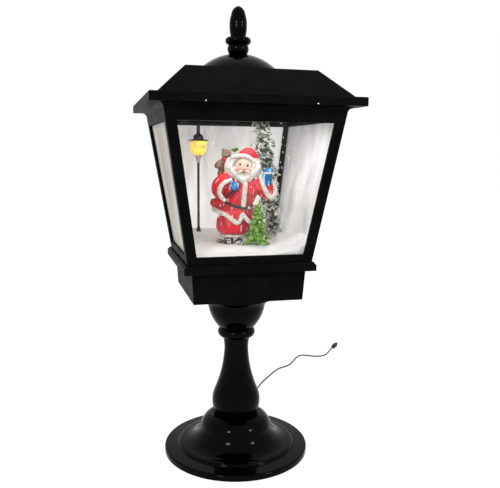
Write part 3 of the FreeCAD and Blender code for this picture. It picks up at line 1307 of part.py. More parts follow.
def make_cord():
    radius = driving_sizes["cord_radius"]
    table = radius + 0.05
    raised = driving_sizes["tie_thickness"] + radius + 0.1
    turns = driving_sizes["coil_turns"]
    gland_height = driving_sizes["gland_height"]
    tail = s.gland_tail.number

    count = int(round(coil_last_turn * 4))
    steps = [coil_last_turn * k / count for k in range(count + 1)]
    tiny = 1e-4
    points = [coil_point(t, turns, raised) for t in steps]
    ways = []
    for t in steps:
        way = coil_point(t + tiny, turns, raised) - coil_point(t - tiny, turns, raised)
        way.normalize()
        ways.append(way)
    straight = 2 * radius
    entry = points[0] - ways[0] * straight
    leave = points[-1] + ways[-1] * straight
    edges = [Part.LineSegment(entry, points[0]).toShape()]
    for k in range(count):
        edges += biarc(points[k], ways[k], points[k + 1], ways[k + 1])
    edges.append(Part.LineSegment(points[-1], leave).toShape())
    coil_length = sum(edge.Length for edge in edges)
    shape = swept(edges, radius)
    fine = [coil_point(coil_last_turn * k / 1600, turns, raised) for k in range(1601)]
    apart = 110
    least = min((fine[a] - fine[b]).Length
                for a in range(0, 1601, 3) for b in range(a + apart, 1601, 3))
    print("cord_coil length %.1f" % coil_length, "turns %.2f" % coil_last_turn,
          "least gap %.2f" % (least - 2 * radius),
          "volume share %.4f" % (shape.Volume / (math.pi * radius ** 2 * coil_length)))
    coil = document.addObject("Part::Feature", "cord_coil")
    coil.Shape = shape
    keep("cord_coil", coil)
    print("coil ends", entry, ways[0], leave, ways[-1])

    lead_in = cord_tube("cord_lead_in", [
        (0, tail, gland_height), (0, tail + 7, gland_height), (1.5, tail + 17, 3.0),
        (7, tail + 29, table), (15, tail + 40, table), (entry.x, tail + 49, raised),
        (entry.x, entry.y, entry.z)], radius)
    off = leave + ways[-1] * 7
    lead_out = cord_tube("cord_lead_out", [
        (leave.x, leave.y, leave.z), (off.x, off.y, off.z - 0.2),
        (62, 216, 3.8), (75, 215, table), (88, 219, table), (98, 229, table),
        (109, 249, table), (124, 271, table), (144, 296, table), (162, 320, table),
        (177, 334, table), (191, 340, table), (206, 350, table), (221, 372, table),
        (235, 393, table), (249, 407, table), (262, 406, table), (276, 395, table),
        (293, 390, table), (308, 395, table), (320, 408, 2.2), (330, 420, 4.0),
        (336.4, 427.9, driving_sizes["plug_radius"] + 0.05),
        (341.4, 434.1, driving_sizes["plug_radius"] + 0.05)], radius)
    print("cord length in all %.1f" % (coil_length + lead_in + lead_out))
    return (341.4, 434.1), (341.4 - 336.4, 434.1 - 427.9)


def make_cord_fittings(plug_foot, plug_way):
    gland = turned("gland_profile", [
        (0, -s.gland_depth), (s.gland_neck + s.gland_ring, -s.gland_depth),
        (s.gland_neck + s.gland_ring, -s.gland_depth + s.gland_ring_length),
        (s.gland_neck, -s.gland_depth + s.gland_ring_length),
        (s.gland_neck, 0.1), (s.gland_flange, 0.1), (s.gland_flange, s.gland_head),
        (s.gland_neck + s.gland_cone, s.gland_head + s.gland_cone),
        (s.cord_radius + s.gland_wall, s.gland_reach), (0, s.gland_reach)])
    gland.Placement.Rotation = FreeCAD.Rotation(Vector(1, 0, 0), -90)
    keep("cord_gland", place(gland, 0, s.foot_radius, s.gland_height))

    plug = turned("dc_plug", [
        (0, 0), (s.cord_radius + 0.6, 0), (s.plug_radius - s.plug_cone_inset, s.plug_cone),
        (s.plug_radius, s.plug_shoulder), (s.plug_radius, s.plug_length - s.plug_edge),
        (s.plug_radius - s.plug_edge_inset, s.plug_length, 0.3),
        (s.barrel_radius, s.plug_length), (s.barrel_radius, s.plug_length + s.barrel_length),
        (s.barrel_bore, s.plug_length + s.barrel_length),
        (s.barrel_bore, s.plug_length + s.barrel_floor),
        (0, s.plug_length + s.barrel_floor)])
    way = Vector(plug_way[0], plug_way[1], 0)
    plug.Placement = FreeCAD.Placement(
        Vector(plug_foot[0], plug_foot[1], 0), FreeCAD.Rotation(Vector(0, 0, 1), way))
    bind(plug, "Placement.Base.z", s.plug_radius + 0.05)
    keep("dc_plug", plug)

    inner = s.coil_outer - s.coil_pitch * s.coil_turns - s.cord_radius - s.tie_inner_play
    outer = s.coil_outer + s.cord_radius + s.tie_play
    low = s.tie_thickness
    high = s.tie_thickness + s.cord_radius * 2 + s.coil_pitch + s.tie_play
    ring = block("tie_outer", s.coil_x + inner - s.tie_thickness,
                 s.coil_x + outer + s.tie_thickness, s.coil_y - s.tie_width / 2,
                 s.coil_y + s.tie_width / 2, 0, high + s.tie_thickness)
    gap = block("tie_gap", s.coil_x + inner, s.coil_x + outer,
                s.coil_y - s.tie_width, s.coil_y + s.tie_width, low, high)
    keep("coil_tie", cut("coil_tie", ring, gap))


def make_supply_lead():
    radius = driving_sizes["cord_radius"]
    low = plate_top.number + 2.0
    start = driving_sizes["foot_radius"] - driving_sizes["gland_depth"]
    socket_x = driving_sizes["board_x"] + 19
    socket_y = driving_sizes["board_y"] + 1
    top = box_inside.number + driving_sizes["standoff_height"] + 1.6 + 6.5
    head = s.rod_head.number
    cord_tube("supply_lead", [
        (0, start, driving_sizes["gland_height"]), (0, 99.5, low), (0, 71, low + 0.2),
        (0, 42, low), (0, 16, low + 0.2), (0, 5, low + 3), (0, 0.6, 16), (0, 0, 32),
        (0.2, 0, 64), (0, 0.2, 110), (0.2, 0, 160), (0, 0.2, 210), (0, 0, 250),
        (0, 0, head), (-3, -4, head + 12), (-10, -17, head + 19),
        (socket_x + 1, socket_y + 9, head + 19), (socket_x, socket_y, head + 11),
        (socket_x, socket_y, top)], radius)


make_foot()
make_pedestal()
make_box()
make_plinth()
make_cage()
make_panes()
make_roof()
make_dome_and_finial()
make_blower()
make_electrics()
make_scene()
make_figure()
plug_foot, plug_way = make_cord()
make_cord_fittings(plug_foot, plug_way)
make_supply_lead()
document.recompute()

faults = []
for thing in document.Objects:
    if "Invalid" in thing.State or "Error" in thing.State:
        faults.append("%s is %s" % (thing.Label, thing.State))
for name, thing in nodes.items():
    if thing.Shape.isNull() or not thing.Shape.isValid():
        faults.append("%s has no valid shape" % name)
if faults:
    raise RuntimeError("; ".join(faults))
for name, thing in nodes.items():
    thing.Shape.exportStep("parts/%s.step" % name)
print(len(nodes), "sub-parts")
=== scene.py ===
import bpy
import json
import math
import random
from mathutils import Matrix, Vector


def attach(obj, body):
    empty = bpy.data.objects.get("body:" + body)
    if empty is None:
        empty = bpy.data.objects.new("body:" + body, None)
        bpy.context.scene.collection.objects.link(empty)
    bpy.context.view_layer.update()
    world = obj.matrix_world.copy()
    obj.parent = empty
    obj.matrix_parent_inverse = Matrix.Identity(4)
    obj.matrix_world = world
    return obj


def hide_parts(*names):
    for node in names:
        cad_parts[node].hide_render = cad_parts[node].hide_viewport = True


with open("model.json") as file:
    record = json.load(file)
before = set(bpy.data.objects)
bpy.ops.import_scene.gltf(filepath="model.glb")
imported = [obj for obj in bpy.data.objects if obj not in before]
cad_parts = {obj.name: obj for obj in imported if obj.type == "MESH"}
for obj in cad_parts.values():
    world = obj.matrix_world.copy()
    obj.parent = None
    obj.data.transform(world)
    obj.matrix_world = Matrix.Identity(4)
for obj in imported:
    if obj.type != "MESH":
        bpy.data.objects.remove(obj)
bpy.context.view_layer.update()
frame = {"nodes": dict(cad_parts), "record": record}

mm = 0.001
nodes = frame["nodes"]
scene = bpy.context.scene
random.seed(41)


# camera, at the photo's viewing angle
cameraFacts = {"place": (-0.21696, -0.93358, 0.47810), "turn": -14.308, "tilt": -8.490,
               "roll": 0.531, "lens": 44.66, "sensor": 36, "near": 0.02, "far": 30}


def makeCamera():
    data = bpy.data.cameras.new("photoCamera")
    data.lens = cameraFacts["lens"]
    data.sensor_width = cameraFacts["sensor"]
    data.clip_start = cameraFacts["near"]
    data.clip_end = cameraFacts["far"]
    camera = bpy.data.objects.new("photoCamera", data)
    scene.collection.objects.link(camera)
    turn = Matrix.Rotation(math.radians(cameraFacts["turn"]), 4, "Z")
    tilt = Matrix.Rotation(math.radians(90 + cameraFacts["tilt"]), 4, "X")
    roll = Matrix.Rotation(math.radians(cameraFacts["roll"]), 4, "Z")
    camera.matrix_world = Matrix.Translation(cameraFacts["place"]) @ turn @ tilt @ roll
    scene.camera = camera


makeCamera()
print("camera made")


# materials

def setInputs(node, settings):
    for key, setting in settings.items():
        node.inputs[key].default_value = setting


def addNode(tree, kind, settings={}):
    node = tree.nodes.new("ShaderNode" + kind)
    setInputs(node, settings)
    return node


def startMaterial(name, color, roughness, specular=0.5, metallic=0):
    material = bpy.data.materials.new(name)
    material.use_nodes = True
    tree = material.node_tree
    shader = tree.nodes["Principled BSDF"]
    setInputs(shader, {"Base Color": (*color, 1), "Roughness": roughness,
                       "Specular IOR Level": specular, "Metallic": metallic})
    return material, tree, shader


def objectPlace(tree, stretch=(1, 1, 1)):
    coords = addNode(tree, "TexCoord")
    mapping = addNode(tree, "Mapping", {"Scale": stretch})
    tree.links.new(coords.outputs["Object"], mapping.inputs["Vector"])
    return mapping.outputs["Vector"]


def noise(tree, scale, detail=4, rough=0.55, stretch=(1, 1, 1)):
    texture = addNode(tree, "TexNoise", {"Scale": scale, "Detail": detail, "Roughness": rough})
    tree.links.new(objectPlace(tree, stretch), texture.inputs["Vector"])
    return texture.outputs["Fac"]


def ramp(tree, factor, stops):
    node = addNode(tree, "ValToRGB")
    bar = node.color_ramp
    bar.elements[0].position, bar.elements[0].color = stops[0][0], (*stops[0][1], 1)
    bar.elements[1].position, bar.elements[1].color = stops[-1][0], (*stops[-1][1], 1)
    for position, color in stops[1:-1]:
        bar.elements.new(position).color = (*color, 1)
    tree.links.new(factor, node.inputs["Fac"])
    return node.outputs["Color"]


def spread(tree, factor, low, high, start=0, end=1):
    node = addNode(tree, "MapRange", {"From Min": start, "From Max": end, "To Min": low,
                                      "To Max": high})
    tree.links.new(factor, node.inputs["Value"])
    return node.outputs["Result"]


def blend(tree, share, under, over):
    # plain colour over another one where the share is high
    mix = addNode(tree, "Mix")
    mix.data_type = "RGBA"
    tree.links.new(share, mix.inputs[0])
    tree.links.new(under, mix.inputs[6])
    mix.inputs[7].default_value = (*over, 1)
    return mix.outputs[2]


def bump(tree, shader, factor, strength, distance):
    node = addNode(tree, "Bump", {"Strength": strength, "Distance": distance})
    tree.links.new(factor, node.inputs["Height"])
    tree.links.new(node.outputs["Normal"], shader.inputs["Normal"])


def finish(name, color, roughness, specular=0.5, metallic=0, grain=900, depth=0.00004,
           shade=0.25, roughSpread=0.08):
    material, tree, shader = startMaterial(name, color, roughness, specular, metallic)
    dark = tuple(c * (1 - shade) for c in color)
    light = tuple(min(1, c * (1 + shade)) for c in color)
    tree.links.new(ramp(tree, noise(tree, 60), [(0.3, dark), (0.7, light)]),
                   shader.inputs["Base Color"])
    tree.links.new(spread(tree, noise(tree, 140, 5), roughness - roughSpread,
                          roughness + roughSpread, 0.35, 0.65), shader.inputs["Roughness"])
    bump(tree, shader, noise(tree, grain, 3), 0.35, depth)
    return material


def makeFinishes():
    return {
        "gloss_black": makeBlack("glossLacquer", 0.0008, 0.09, 1.13, 220, 0.03),
        "satin_black": makeBlack("satinPaint", 0.0028, 0.48, 1.09, 1500, 0.06),
        "inner_black": finish("mouldedBlack", (0.01, 0.01, 0.01), 0.5, 0.25),
        "zinc_steel": finish("zincPlate", (0.6, 0.6, 0.58), 0.32, 0.5, 1),
        "cast_weight": finish("castIron", (0.07, 0.07, 0.075), 0.7, 0.4, 0.3, 500, 0.0003),
        "pad_rubber": finish("padRubber", (0.02, 0.02, 0.02), 0.8),
        "base_board": finish("baseDisc", (0.02, 0.02, 0.021), 0.65, 0.4, 0, 700, 0.0001),
        "board_green": finish("circuitGreen", (0.02, 0.16, 0.05), 0.4),
        "white_plastic": finish("whitePlastic", (0.8, 0.81, 0.82), 0.45, 0.5, 0, 900, 0.00003,
                                0.04),
        "blower_grey": finish("blowerGrey", (0.12, 0.125, 0.13), 0.5),
        "motor_metal": finish("motorCan", (0.5, 0.5, 0.5), 0.35, 0.5, 1),
        "cord_black": finish("cordJacket", (0.006, 0.006, 0.0065), 0.42, 0.3, 0, 2500, 0.00005),
        "mini_bronze": finish("darkBronze", (0.006, 0.004, 0.003), 0.22, 0.4),
        # dark pole with paler grey streaks running along it at random
        "pole_streaked": paint(
            "streakedPole", (0.02, 0.018, 0.015), 0.35, 0.5, (320, 4, 0.6, (1, 1, 0.25)),
            [(0.45, (0.012, 0.01, 0.009)), (0.62, (0.05, 0.045, 0.04)), (0.72, (0.45, 0.43, 0.4))]),
        "lamp_amber": makeAmber(),
        "snow_white": paint(
            "snow", (0.85, 0.84, 0.84), 0.65, 0.3, (850, 4, 0.75),
            [(0.28, (0.62, 0.53, 0.5)), (0.38, (0.92, 0.9, 0.89)), (0.55, (0.97, 0.96, 0.95)),
             (0.75, (0.99, 0.99, 0.98))],
            ((900, 5, 0.7), 0.7, 0.0006), (0.1, (0.003, 0.003, 0.003))),
        "clear_pane": makeClearPane(),
        # one frosted sheet in three copies: the rear copy glows brighter as painted light, the left
        # one is darker and warmer as painted shade
        "frosted_pane": makeFrostedPane("frostedPane", 0.26, (1, 0.995, 0.985)),
        "rear_frost_painted_light": makeFrostedPane("rearFrostPaintedLight", 0.66, (1, 0.995, 0.985)),
        "left_frost_painted_shade": makeFrostedPane("leftFrostPaintedShade", 0.1, (0.8, 0.74, 0.68)),
        "garland_green": makeGreenWithPaleTop("garlandGreen", (0.012, 0.03, 0.012),
                                        (0.09, 0.16, 0.07), (0.8, 0.81, 0.76), 0.5),
        "leaf_frost": finish("leafFrost", (0.72, 0.74, 0.66), 0.6, 0.3, 0, 900, 0.0001),
        # the tree's paler top is painted light, a painted highlight on what faces up
        "tree_green": makeGreenWithPaleTop("treeGreen", (0.02, 0.11, 0.01), (0.22, 0.42, 0.04),
                                     (0.5, 0.7, 0.26), 0.7),
        "coat_red": makeCoatRed(),
        "beard_white": makeCream("beardCream", 0.5),
        "fur_white": makeCream("furCream", 0.65),
        "sack_brown": paint(
            "sackBrown", (0.2, 0.11, 0.07), 0.55, 0.4, (170, 5, 0.65),
            [(0.32, (0.09, 0.04, 0.025)), (0.5, (0.27, 0.15, 0.1)), (0.66, (0.5, 0.35, 0.26))],
            ((420, 4, 0.7), 0.8, 0.0008)),
        "black_enamel": finish("blackEnamel", (0.006, 0.004, 0.004), 0.4, 0.2),
        "snowy_boot": paint(
            "snowyBoot", (0.01, 0.008, 0.01), 0.4, 0.4, (240, 3, 0.6),
            [(0.52, (0.008, 0.006, 0.01)), (0.58, (0.75, 0.74, 0.72))]),
        "warm_skin": makeSkin("warmSkin", (0.8, 0.5, 0.38), (0.86, 0.66, 0.52)),
        "rosy_skin": makeSkin("rosySkin", (0.78, 0.3, 0.24), (0.85, 0.5, 0.4)),
        "soft_lips": finish("softLips", (0.55, 0.08, 0.09), 0.35),
        "mitten_blue": paint(
            "mittenBlue", (0.01, 0.2, 0.5), 0.35, 0.3, (200, 3, 0.5, (1, 1, 0.35)),
            [(0.36, (0.001, 0.08, 0.3)), (0.52, (0.003, 0.2, 0.55)), (0.6, (0.12, 0.5, 0.8)),
             (0.65, (0.7, 0.85, 0.92))]),
    }


def makeBlack(name, shade, roughness, ior, grain, roughSpread):
    material, tree, shader = startMaterial(name, (shade,) * 3, roughness)
    shader.inputs["IOR"].default_value = ior
    tree.links.new(ramp(tree, noise(tree, 35, 5), [(0.35, (shade * 0.7,) * 3),
                                                   (0.65, (shade * 1.4,) * 3)]),
                   shader.inputs["Base Color"])
    tree.links.new(spread(tree, noise(tree, 90, 5), roughness - roughSpread,
                          roughness + roughSpread, 0.35, 0.65), shader.inputs["Roughness"])
    bump(tree, shader, noise(tree, grain, 3), 0.3, 0.00003)
    return material


def paint(name, color, roughness, specular, pattern, stops, relief=None, soft=None):
    # colour stops over one noise; relief is a noise, a strength and a depth
    material, tree, shader = startMaterial(name, color, roughness, specular)
    tree.links.new(ramp(tree, noise(tree, *pattern), stops), shader.inputs["Base Color"])
    if relief:
        bump(tree, shader, noise(tree, *relief[0]), *relief[1:])
    if soft:
        setInputs(shader, {"Subsurface Weight": soft[0], "Subsurface Radius": soft[1]})
    return material


def makeGreenWithPaleTop(name, dark, light, top, topStart):
    # the top colour lies on what faces up: snow on the garland, and on the tree a painted
    # highlight, paler where light falls from above; leaves that don't face up keep the mottled
    # green
    material, tree, shader = startMaterial(name, dark, 0.6, 0.3)
    leafColor = ramp(tree, noise(tree, 300, 4), [(0.35, dark), (0.6, light),
                                                 (0.75, tuple(min(1, c * 1.5) for c in light))])
    facing, split = addNode(tree, "NewGeometry"), addNode(tree, "SeparateXYZ")
    tree.links.new(facing.outputs["Normal"], split.inputs["Vector"])
    upward = addNode(tree, "Math", {1: 0.9})
    upward.operation = "MULTIPLY_ADD"
    tree.links.new(noise(tree, 380, 3, 0.7), upward.inputs[0])
    tree.links.new(spread(tree, split.outputs["Z"], -0.35, 0.35, -1, 1), upward.inputs[2])
    snowAndPaintedLightShare = spread(tree, upward.outputs[0], 0, 1, topStart, topStart + 0.16)
    tree.links.new(blend(tree, snowAndPaintedLightShare, leafColor, top), shader.inputs["Base Color"])
    return material


def makeCoatRed():
    # glossy resin paint, its red darker and lighter in patches at random, and picked out with pale
    # falling flecks
    material, tree, shader = startMaterial("coatRed", (0.5, 0.01, 0.015), 0.34, 0.3)
    base = ramp(tree, noise(tree, 95, 5, 0.6), [(0.32, (0.3, 0.0005, 0.006)),
                                               (0.46, (0.68, 0.001, 0.016)),
                                               (0.7, (0.9, 0.006, 0.03))])
    flecks = ramp(tree, noise(tree, 330, 0, 0.3, (1, 1, 0.24)),
                  [(0.73, (0, 0, 0)), (0.77, (1, 1, 1))])
    tree.links.new(blend(tree, flecks, base, (0.9, 0.6, 0.58)), shader.inputs["Base Color"])
    bump(tree, shader, noise(tree, 110, 4), 0.7, 0.0012)
    return material


def makeCream(name, roughness):
    return paint(name, (0.8, 0.76, 0.7), roughness, 0.35, (260, 5, 0.65),
                 [(0.32, (0.42, 0.37, 0.33)), (0.46, (0.74, 0.7, 0.63)),
                  (0.7, (0.88, 0.85, 0.79))], ((500, 4, 0.7), 0.8, 0.0008))


def makeSkin(name, deep, pale):
    return paint(name, deep, 0.4, 0.4, (130, 4), [(0.35, deep), (0.65, pale)],
                 soft=(0.1, (0.002, 0.001, 0.0006)))


def makeAmber():
    material, tree, shader = startMaterial("amberLens", (1, 0.6, 0.05), 0.35)
    color = ramp(tree, noise(tree, 170, 3), [(0.36, (0.9, 0.42, 0.12)), (0.46, (0.95, 0.66, 0.18)),
                                            (0.56, (1, 0.78, 0.02)), (0.66, (1, 0.88, 0.4))])
    tree.links.new(color, shader.inputs["Base Color"])
    tree.links.new(color, shader.inputs["Emission Color"])
    shader.inputs["Emission Strength"].default_value = 0.58
    bump(tree, shader, noise(tree, 300, 2), 0.4, 0.0004)
    return material


def makeClearPane():
    material, tree, shader = startMaterial("clearPane", (0.97, 0.98, 0.98), 0.03, 0.2)
    tree.links.new(spread(tree, noise(tree, 40, 3), 0.015, 0.05, 0.3, 0.7),
                   shader.inputs["Roughness"])
    tree.links.new(spread(tree, noise(tree, 25, 6, 0.7, (1, 1, 0.4)), 0.01, 0.06, 0.52, 0.8),
                   shader.inputs["Alpha"])
    return material


def makeFrostedPane(name, paintedGlow, tint):
    # sheet with a cloudy marbling that glows in its own colour: painted light standing in for the
    # light on it
    material, tree, shader = startMaterial(name, (0.8, 0.8, 0.8), 0.5, 0.3)
    cloud = ramp(tree, noise(tree, 22, 8, 0.62, (1, 1, 0.3)),
                 [(place, tuple(level * c for c in tint))
                  for place, level in ((0.3, 0.43), (0.45, 0.63), (0.56, 0.76), (0.72, 0.88))])
    tree.links.new(cloud, shader.inputs["Base Color"])
    tree.links.new(cloud, shader.inputs["Emission Color"])
    setInputs(shader, {"Emission Strength": paintedGlow, "Subsurface Weight": 0.15,
                       "Subsurface Radius": (0.003, 0.003, 0.003)})
    bump(tree, shader, noise(tree, 260, 5, 0.6), 0.4, 0.0004)
    return material


finishes = makeFinishes()
for part in frame["record"]["subparts"]:
    mesh = nodes[part["node"]].data
    mesh.materials.clear()
    mesh.materials.append(finishes[part["material_slot"]])
nodes["mini_post"].data.materials[0] = finishes["pole_streaked"]
# rear pane takes the painted-light copy of the frost, left pane the painted-shade copy
nodes["rear_pane"].data.materials[0] = finishes["rear_frost_painted_light"]
nodes["left_pane"].data.materials[0] = finishes["left_frost_painted_shade"]
nodes["roof_dome"].data.materials[0] = finishes["gloss_black"]
print("finishes made")


# cord

cordFacts = {
    "diameter": 3.1, "length": 1373, "gland": (0, 128, 4.8),
    "coilX": 45, "coilY": 190, "coilOuter": 25.4, "pitch": 3.7, "layerTurns": 4,
    "crossing": 0.5, "lastTurn": 8.2222, "low": 2.45, "pointsPerTurn": 16,
    "leadIn": [(0, 128, 4.8), (0, 135, 4.8), (1.5, 145, 3), (7, 157, 1.6), (15, 168, 1.6),
               (19.5, 177, 2.45)],
    "leadOut": [(50.7, 216, 5.95), (62, 216, 3.8), (75, 215, 1.6), (88, 219, 1.6),
                (98, 229, 1.6), (109, 249, 1.6), (124, 271, 1.6), (144, 296, 1.6),
                (162, 320, 1.6), (177, 334, 1.6), (191, 340, 1.6), (206, 350, 1.6),
                (221, 372, 1.6), (235, 393, 1.6), (249, 407, 1.6), (262, 406, 1.6),
                (276, 395, 1.6), (293, 390, 1.6), (308, 395, 1.6), (320, 408, 2.2),
                (330, 420, 4), (336.4, 427.9, 5.05), (341.4, 434.1, 5.05)],
}


def coilPoint(turn):
    # lower layer winds inward, crosses up in half a turn, and the upper one winds outward
    facts = cordFacts
    inner = facts["coilOuter"] - facts["pitch"] * facts["layerTurns"]
    past = turn - facts["layerTurns"]
    height = facts["low"]
    if past <= 0:
        radius = facts["coilOuter"] - facts["pitch"] * turn
    elif past <= facts["crossing"]:
        half, share = facts["crossing"] / 2, past / facts["crossing"]
        radius = inner - facts["pitch"] * (half - abs(past - half))
        height += facts["pitch"] * (3 * share ** 2 - 2 * share ** 3)
    else:
        radius = inner + facts["pitch"] * (past - facts["crossing"])
        height += facts["pitch"]
    radius /= math.cos(math.pi / facts["pointsPerTurn"])    # the curve runs inside its points
    angle = math.pi - 2 * math.pi * turn
    return (facts["coilX"] + radius * math.cos(angle),
            facts["coilY"] + radius * math.sin(angle), height)


def makeCord():
    count = int(round(cordFacts["lastTurn"] * cordFacts["pointsPerTurn"]))
    coil = [coilPoint(cordFacts["lastTurn"] * k / count) for k in range(count + 1)]
    route = cordFacts["leadIn"] + coil + cordFacts["leadOut"]
    data = bpy.data.curves.new("lampCord", "CURVE")
    data.dimensions = "3D"
    spline = data.splines.new("NURBS")
    spline.points.add(len(route) - 1)
    for point, place in zip(spline.points, route):
        point.co = (place[0] * mm, place[1] * mm, place[2] * mm, 1)
    spline.order_u = 3
    spline.use_endpoint_u = True
    spline.resolution_u = 6
    data.bevel_depth = cordFacts["diameter"] * mm / 2
    data.bevel_resolution = 3
    data.use_fill_caps = True
    data.materials.append(finishes["cord_black"])
    cord = bpy.data.objects.new("lampCord", data)
    scene.collection.objects.link(cord)
    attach(cord, "lamp")
    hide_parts("cord_lead_in", "cord_coil", "cord_lead_out")


makeCord()
print("cord laid")


# shaping helpers

def jitter(reach):
    return random.uniform(-reach, reach)


def pick(*forms):
    # these forms are selected and the first is active
    bpy.ops.object.select_all(action="DESELECT")
    for form in forms:
        form.select_set(True)
    bpy.context.view_layer.objects.active = forms[0]


def setDown(form):
    # place, turn and size go into the mesh
    pick(form)
    bpy.ops.object.transform_apply(location=True, rotation=True, scale=True)
    return form


def openEdit():
    bpy.ops.object.mode_set(mode="EDIT")
    bpy.ops.mesh.select_all(action="SELECT")


def closeEdit():
    # every face looks outward
    bpy.ops.mesh.select_all(action="SELECT")
    bpy.ops.mesh.normals_make_consistent(inside=False)
    bpy.ops.object.mode_set(mode="OBJECT")


def growForm(name, rings, sides=24):
    # circle grown ring by ring: x, y, height, half width, half depth, all in mm
    x, y, z, wide, deep = rings[0]
    bpy.ops.mesh.primitive_circle_add(vertices=sides, radius=mm, fill_type="NGON",
                                      location=(x * mm, y * mm, z * mm))
    form = bpy.context.object
    form.name = name
    bpy.ops.object.transform_apply(location=True)
    openEdit()
    bpy.ops.transform.resize(value=(wide, deep, 1), center_override=(x * mm, y * mm, z * mm))
    for old, new in zip(rings, rings[1:]):
        step = [(b - a) * mm for a, b in zip(old[:3], new[:3])]
        bpy.ops.mesh.extrude_region_move(TRANSFORM_OT_translate={"value": step})
        bpy.ops.transform.resize(value=(new[3] / old[3], new[4] / old[4], 1),
                                 center_override=[c * mm for c in new[:3]])
    closeEdit()
    return form


def ballForm(name, place, size, turn=(0, 0, 0), rings=12):
    bpy.ops.mesh.primitive_uv_sphere_add(segments=rings * 2, ring_count=rings, radius=mm,
                                         location=[c * mm for c in place],
                                         rotation=[math.radians(a) for a in turn])
    form = bpy.context.object
    form.name = name
    form.scale = size
    return setDown(form)


def pathForm(name, points, closed=False, sides=3):
    # round limb, lock or trim along points of x, y, z, radius in mm
    data = bpy.data.curves.new(name, "CURVE")
    data.dimensions = "3D"
    spline = data.splines.new("NURBS")
    spline.points.add(len(points) - 1)
    for point, (x, y, z, radius) in zip(spline.points, points):
        point.co = (x * mm, y * mm, z * mm, 1)
        point.radius = radius
    spline.order_u = 3
    spline.use_cyclic_u = closed
    spline.use_endpoint_u = not closed
    spline.resolution_u = 4
    data.bevel_depth = mm
    data.bevel_resolution = sides
    data.use_fill_caps = True
    form = bpy.data.objects.new(name, data)
    scene.collection.objects.link(form)
    pick(form)
    bpy.ops.object.convert(target="MESH")
    return bpy.context.object


def joinForms(name, forms):
    pick(*forms)
    if len(forms) > 1:
        bpy.ops.object.join()
    whole = bpy.context.object
    whole.name = name
    openEdit()
    bpy.ops.mesh.remove_doubles(threshold=0.00001)
    closeEdit()
    return whole


def applyModifier(form, kind, **settings):
    pick(form)
    modifier = form.modifiers.new("work", kind)
    for key, setting in settings.items():
        setattr(modifier, key, setting)
    bpy.ops.object.modifier_apply(modifier="work")


def castSkin(form, voxel, smooth):
    # one closed skin over all the forms, as a casting has
    applyModifier(form, "REMESH", mode="VOXEL", voxel_size=voxel * mm)
    if smooth:
        applyModifier(form, "SMOOTH", factor=0.5, iterations=smooth)
    pick(form)
    bpy.ops.object.shade_smooth()


def roughen(form, size, depth):
    pattern = bpy.data.textures.new("grain", "CLOUDS")
    pattern.noise_scale = size * mm
    applyModifier(form, "DISPLACE", texture=pattern, strength=depth * mm, mid_level=0.5,
                  texture_coords="LOCAL")


def smoothBelow(form, degrees):
    pick(form)
    bpy.ops.object.shade_smooth_by_angle(angle=math.radians(degrees))


def dress(piece, finishName, over=()):
    # with a finish named, it replaces the piece's materials; with no finish here, the piece keeps
    # the ones that it has
    if finishName:
        piece.data.materials.clear()
        piece.data.materials.append(finishes[finishName])
    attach(piece, "lamp")
    if over:
        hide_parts(*over)


# figure, modelled in mm round its own middle and facing -Y, then turned and set on the snow

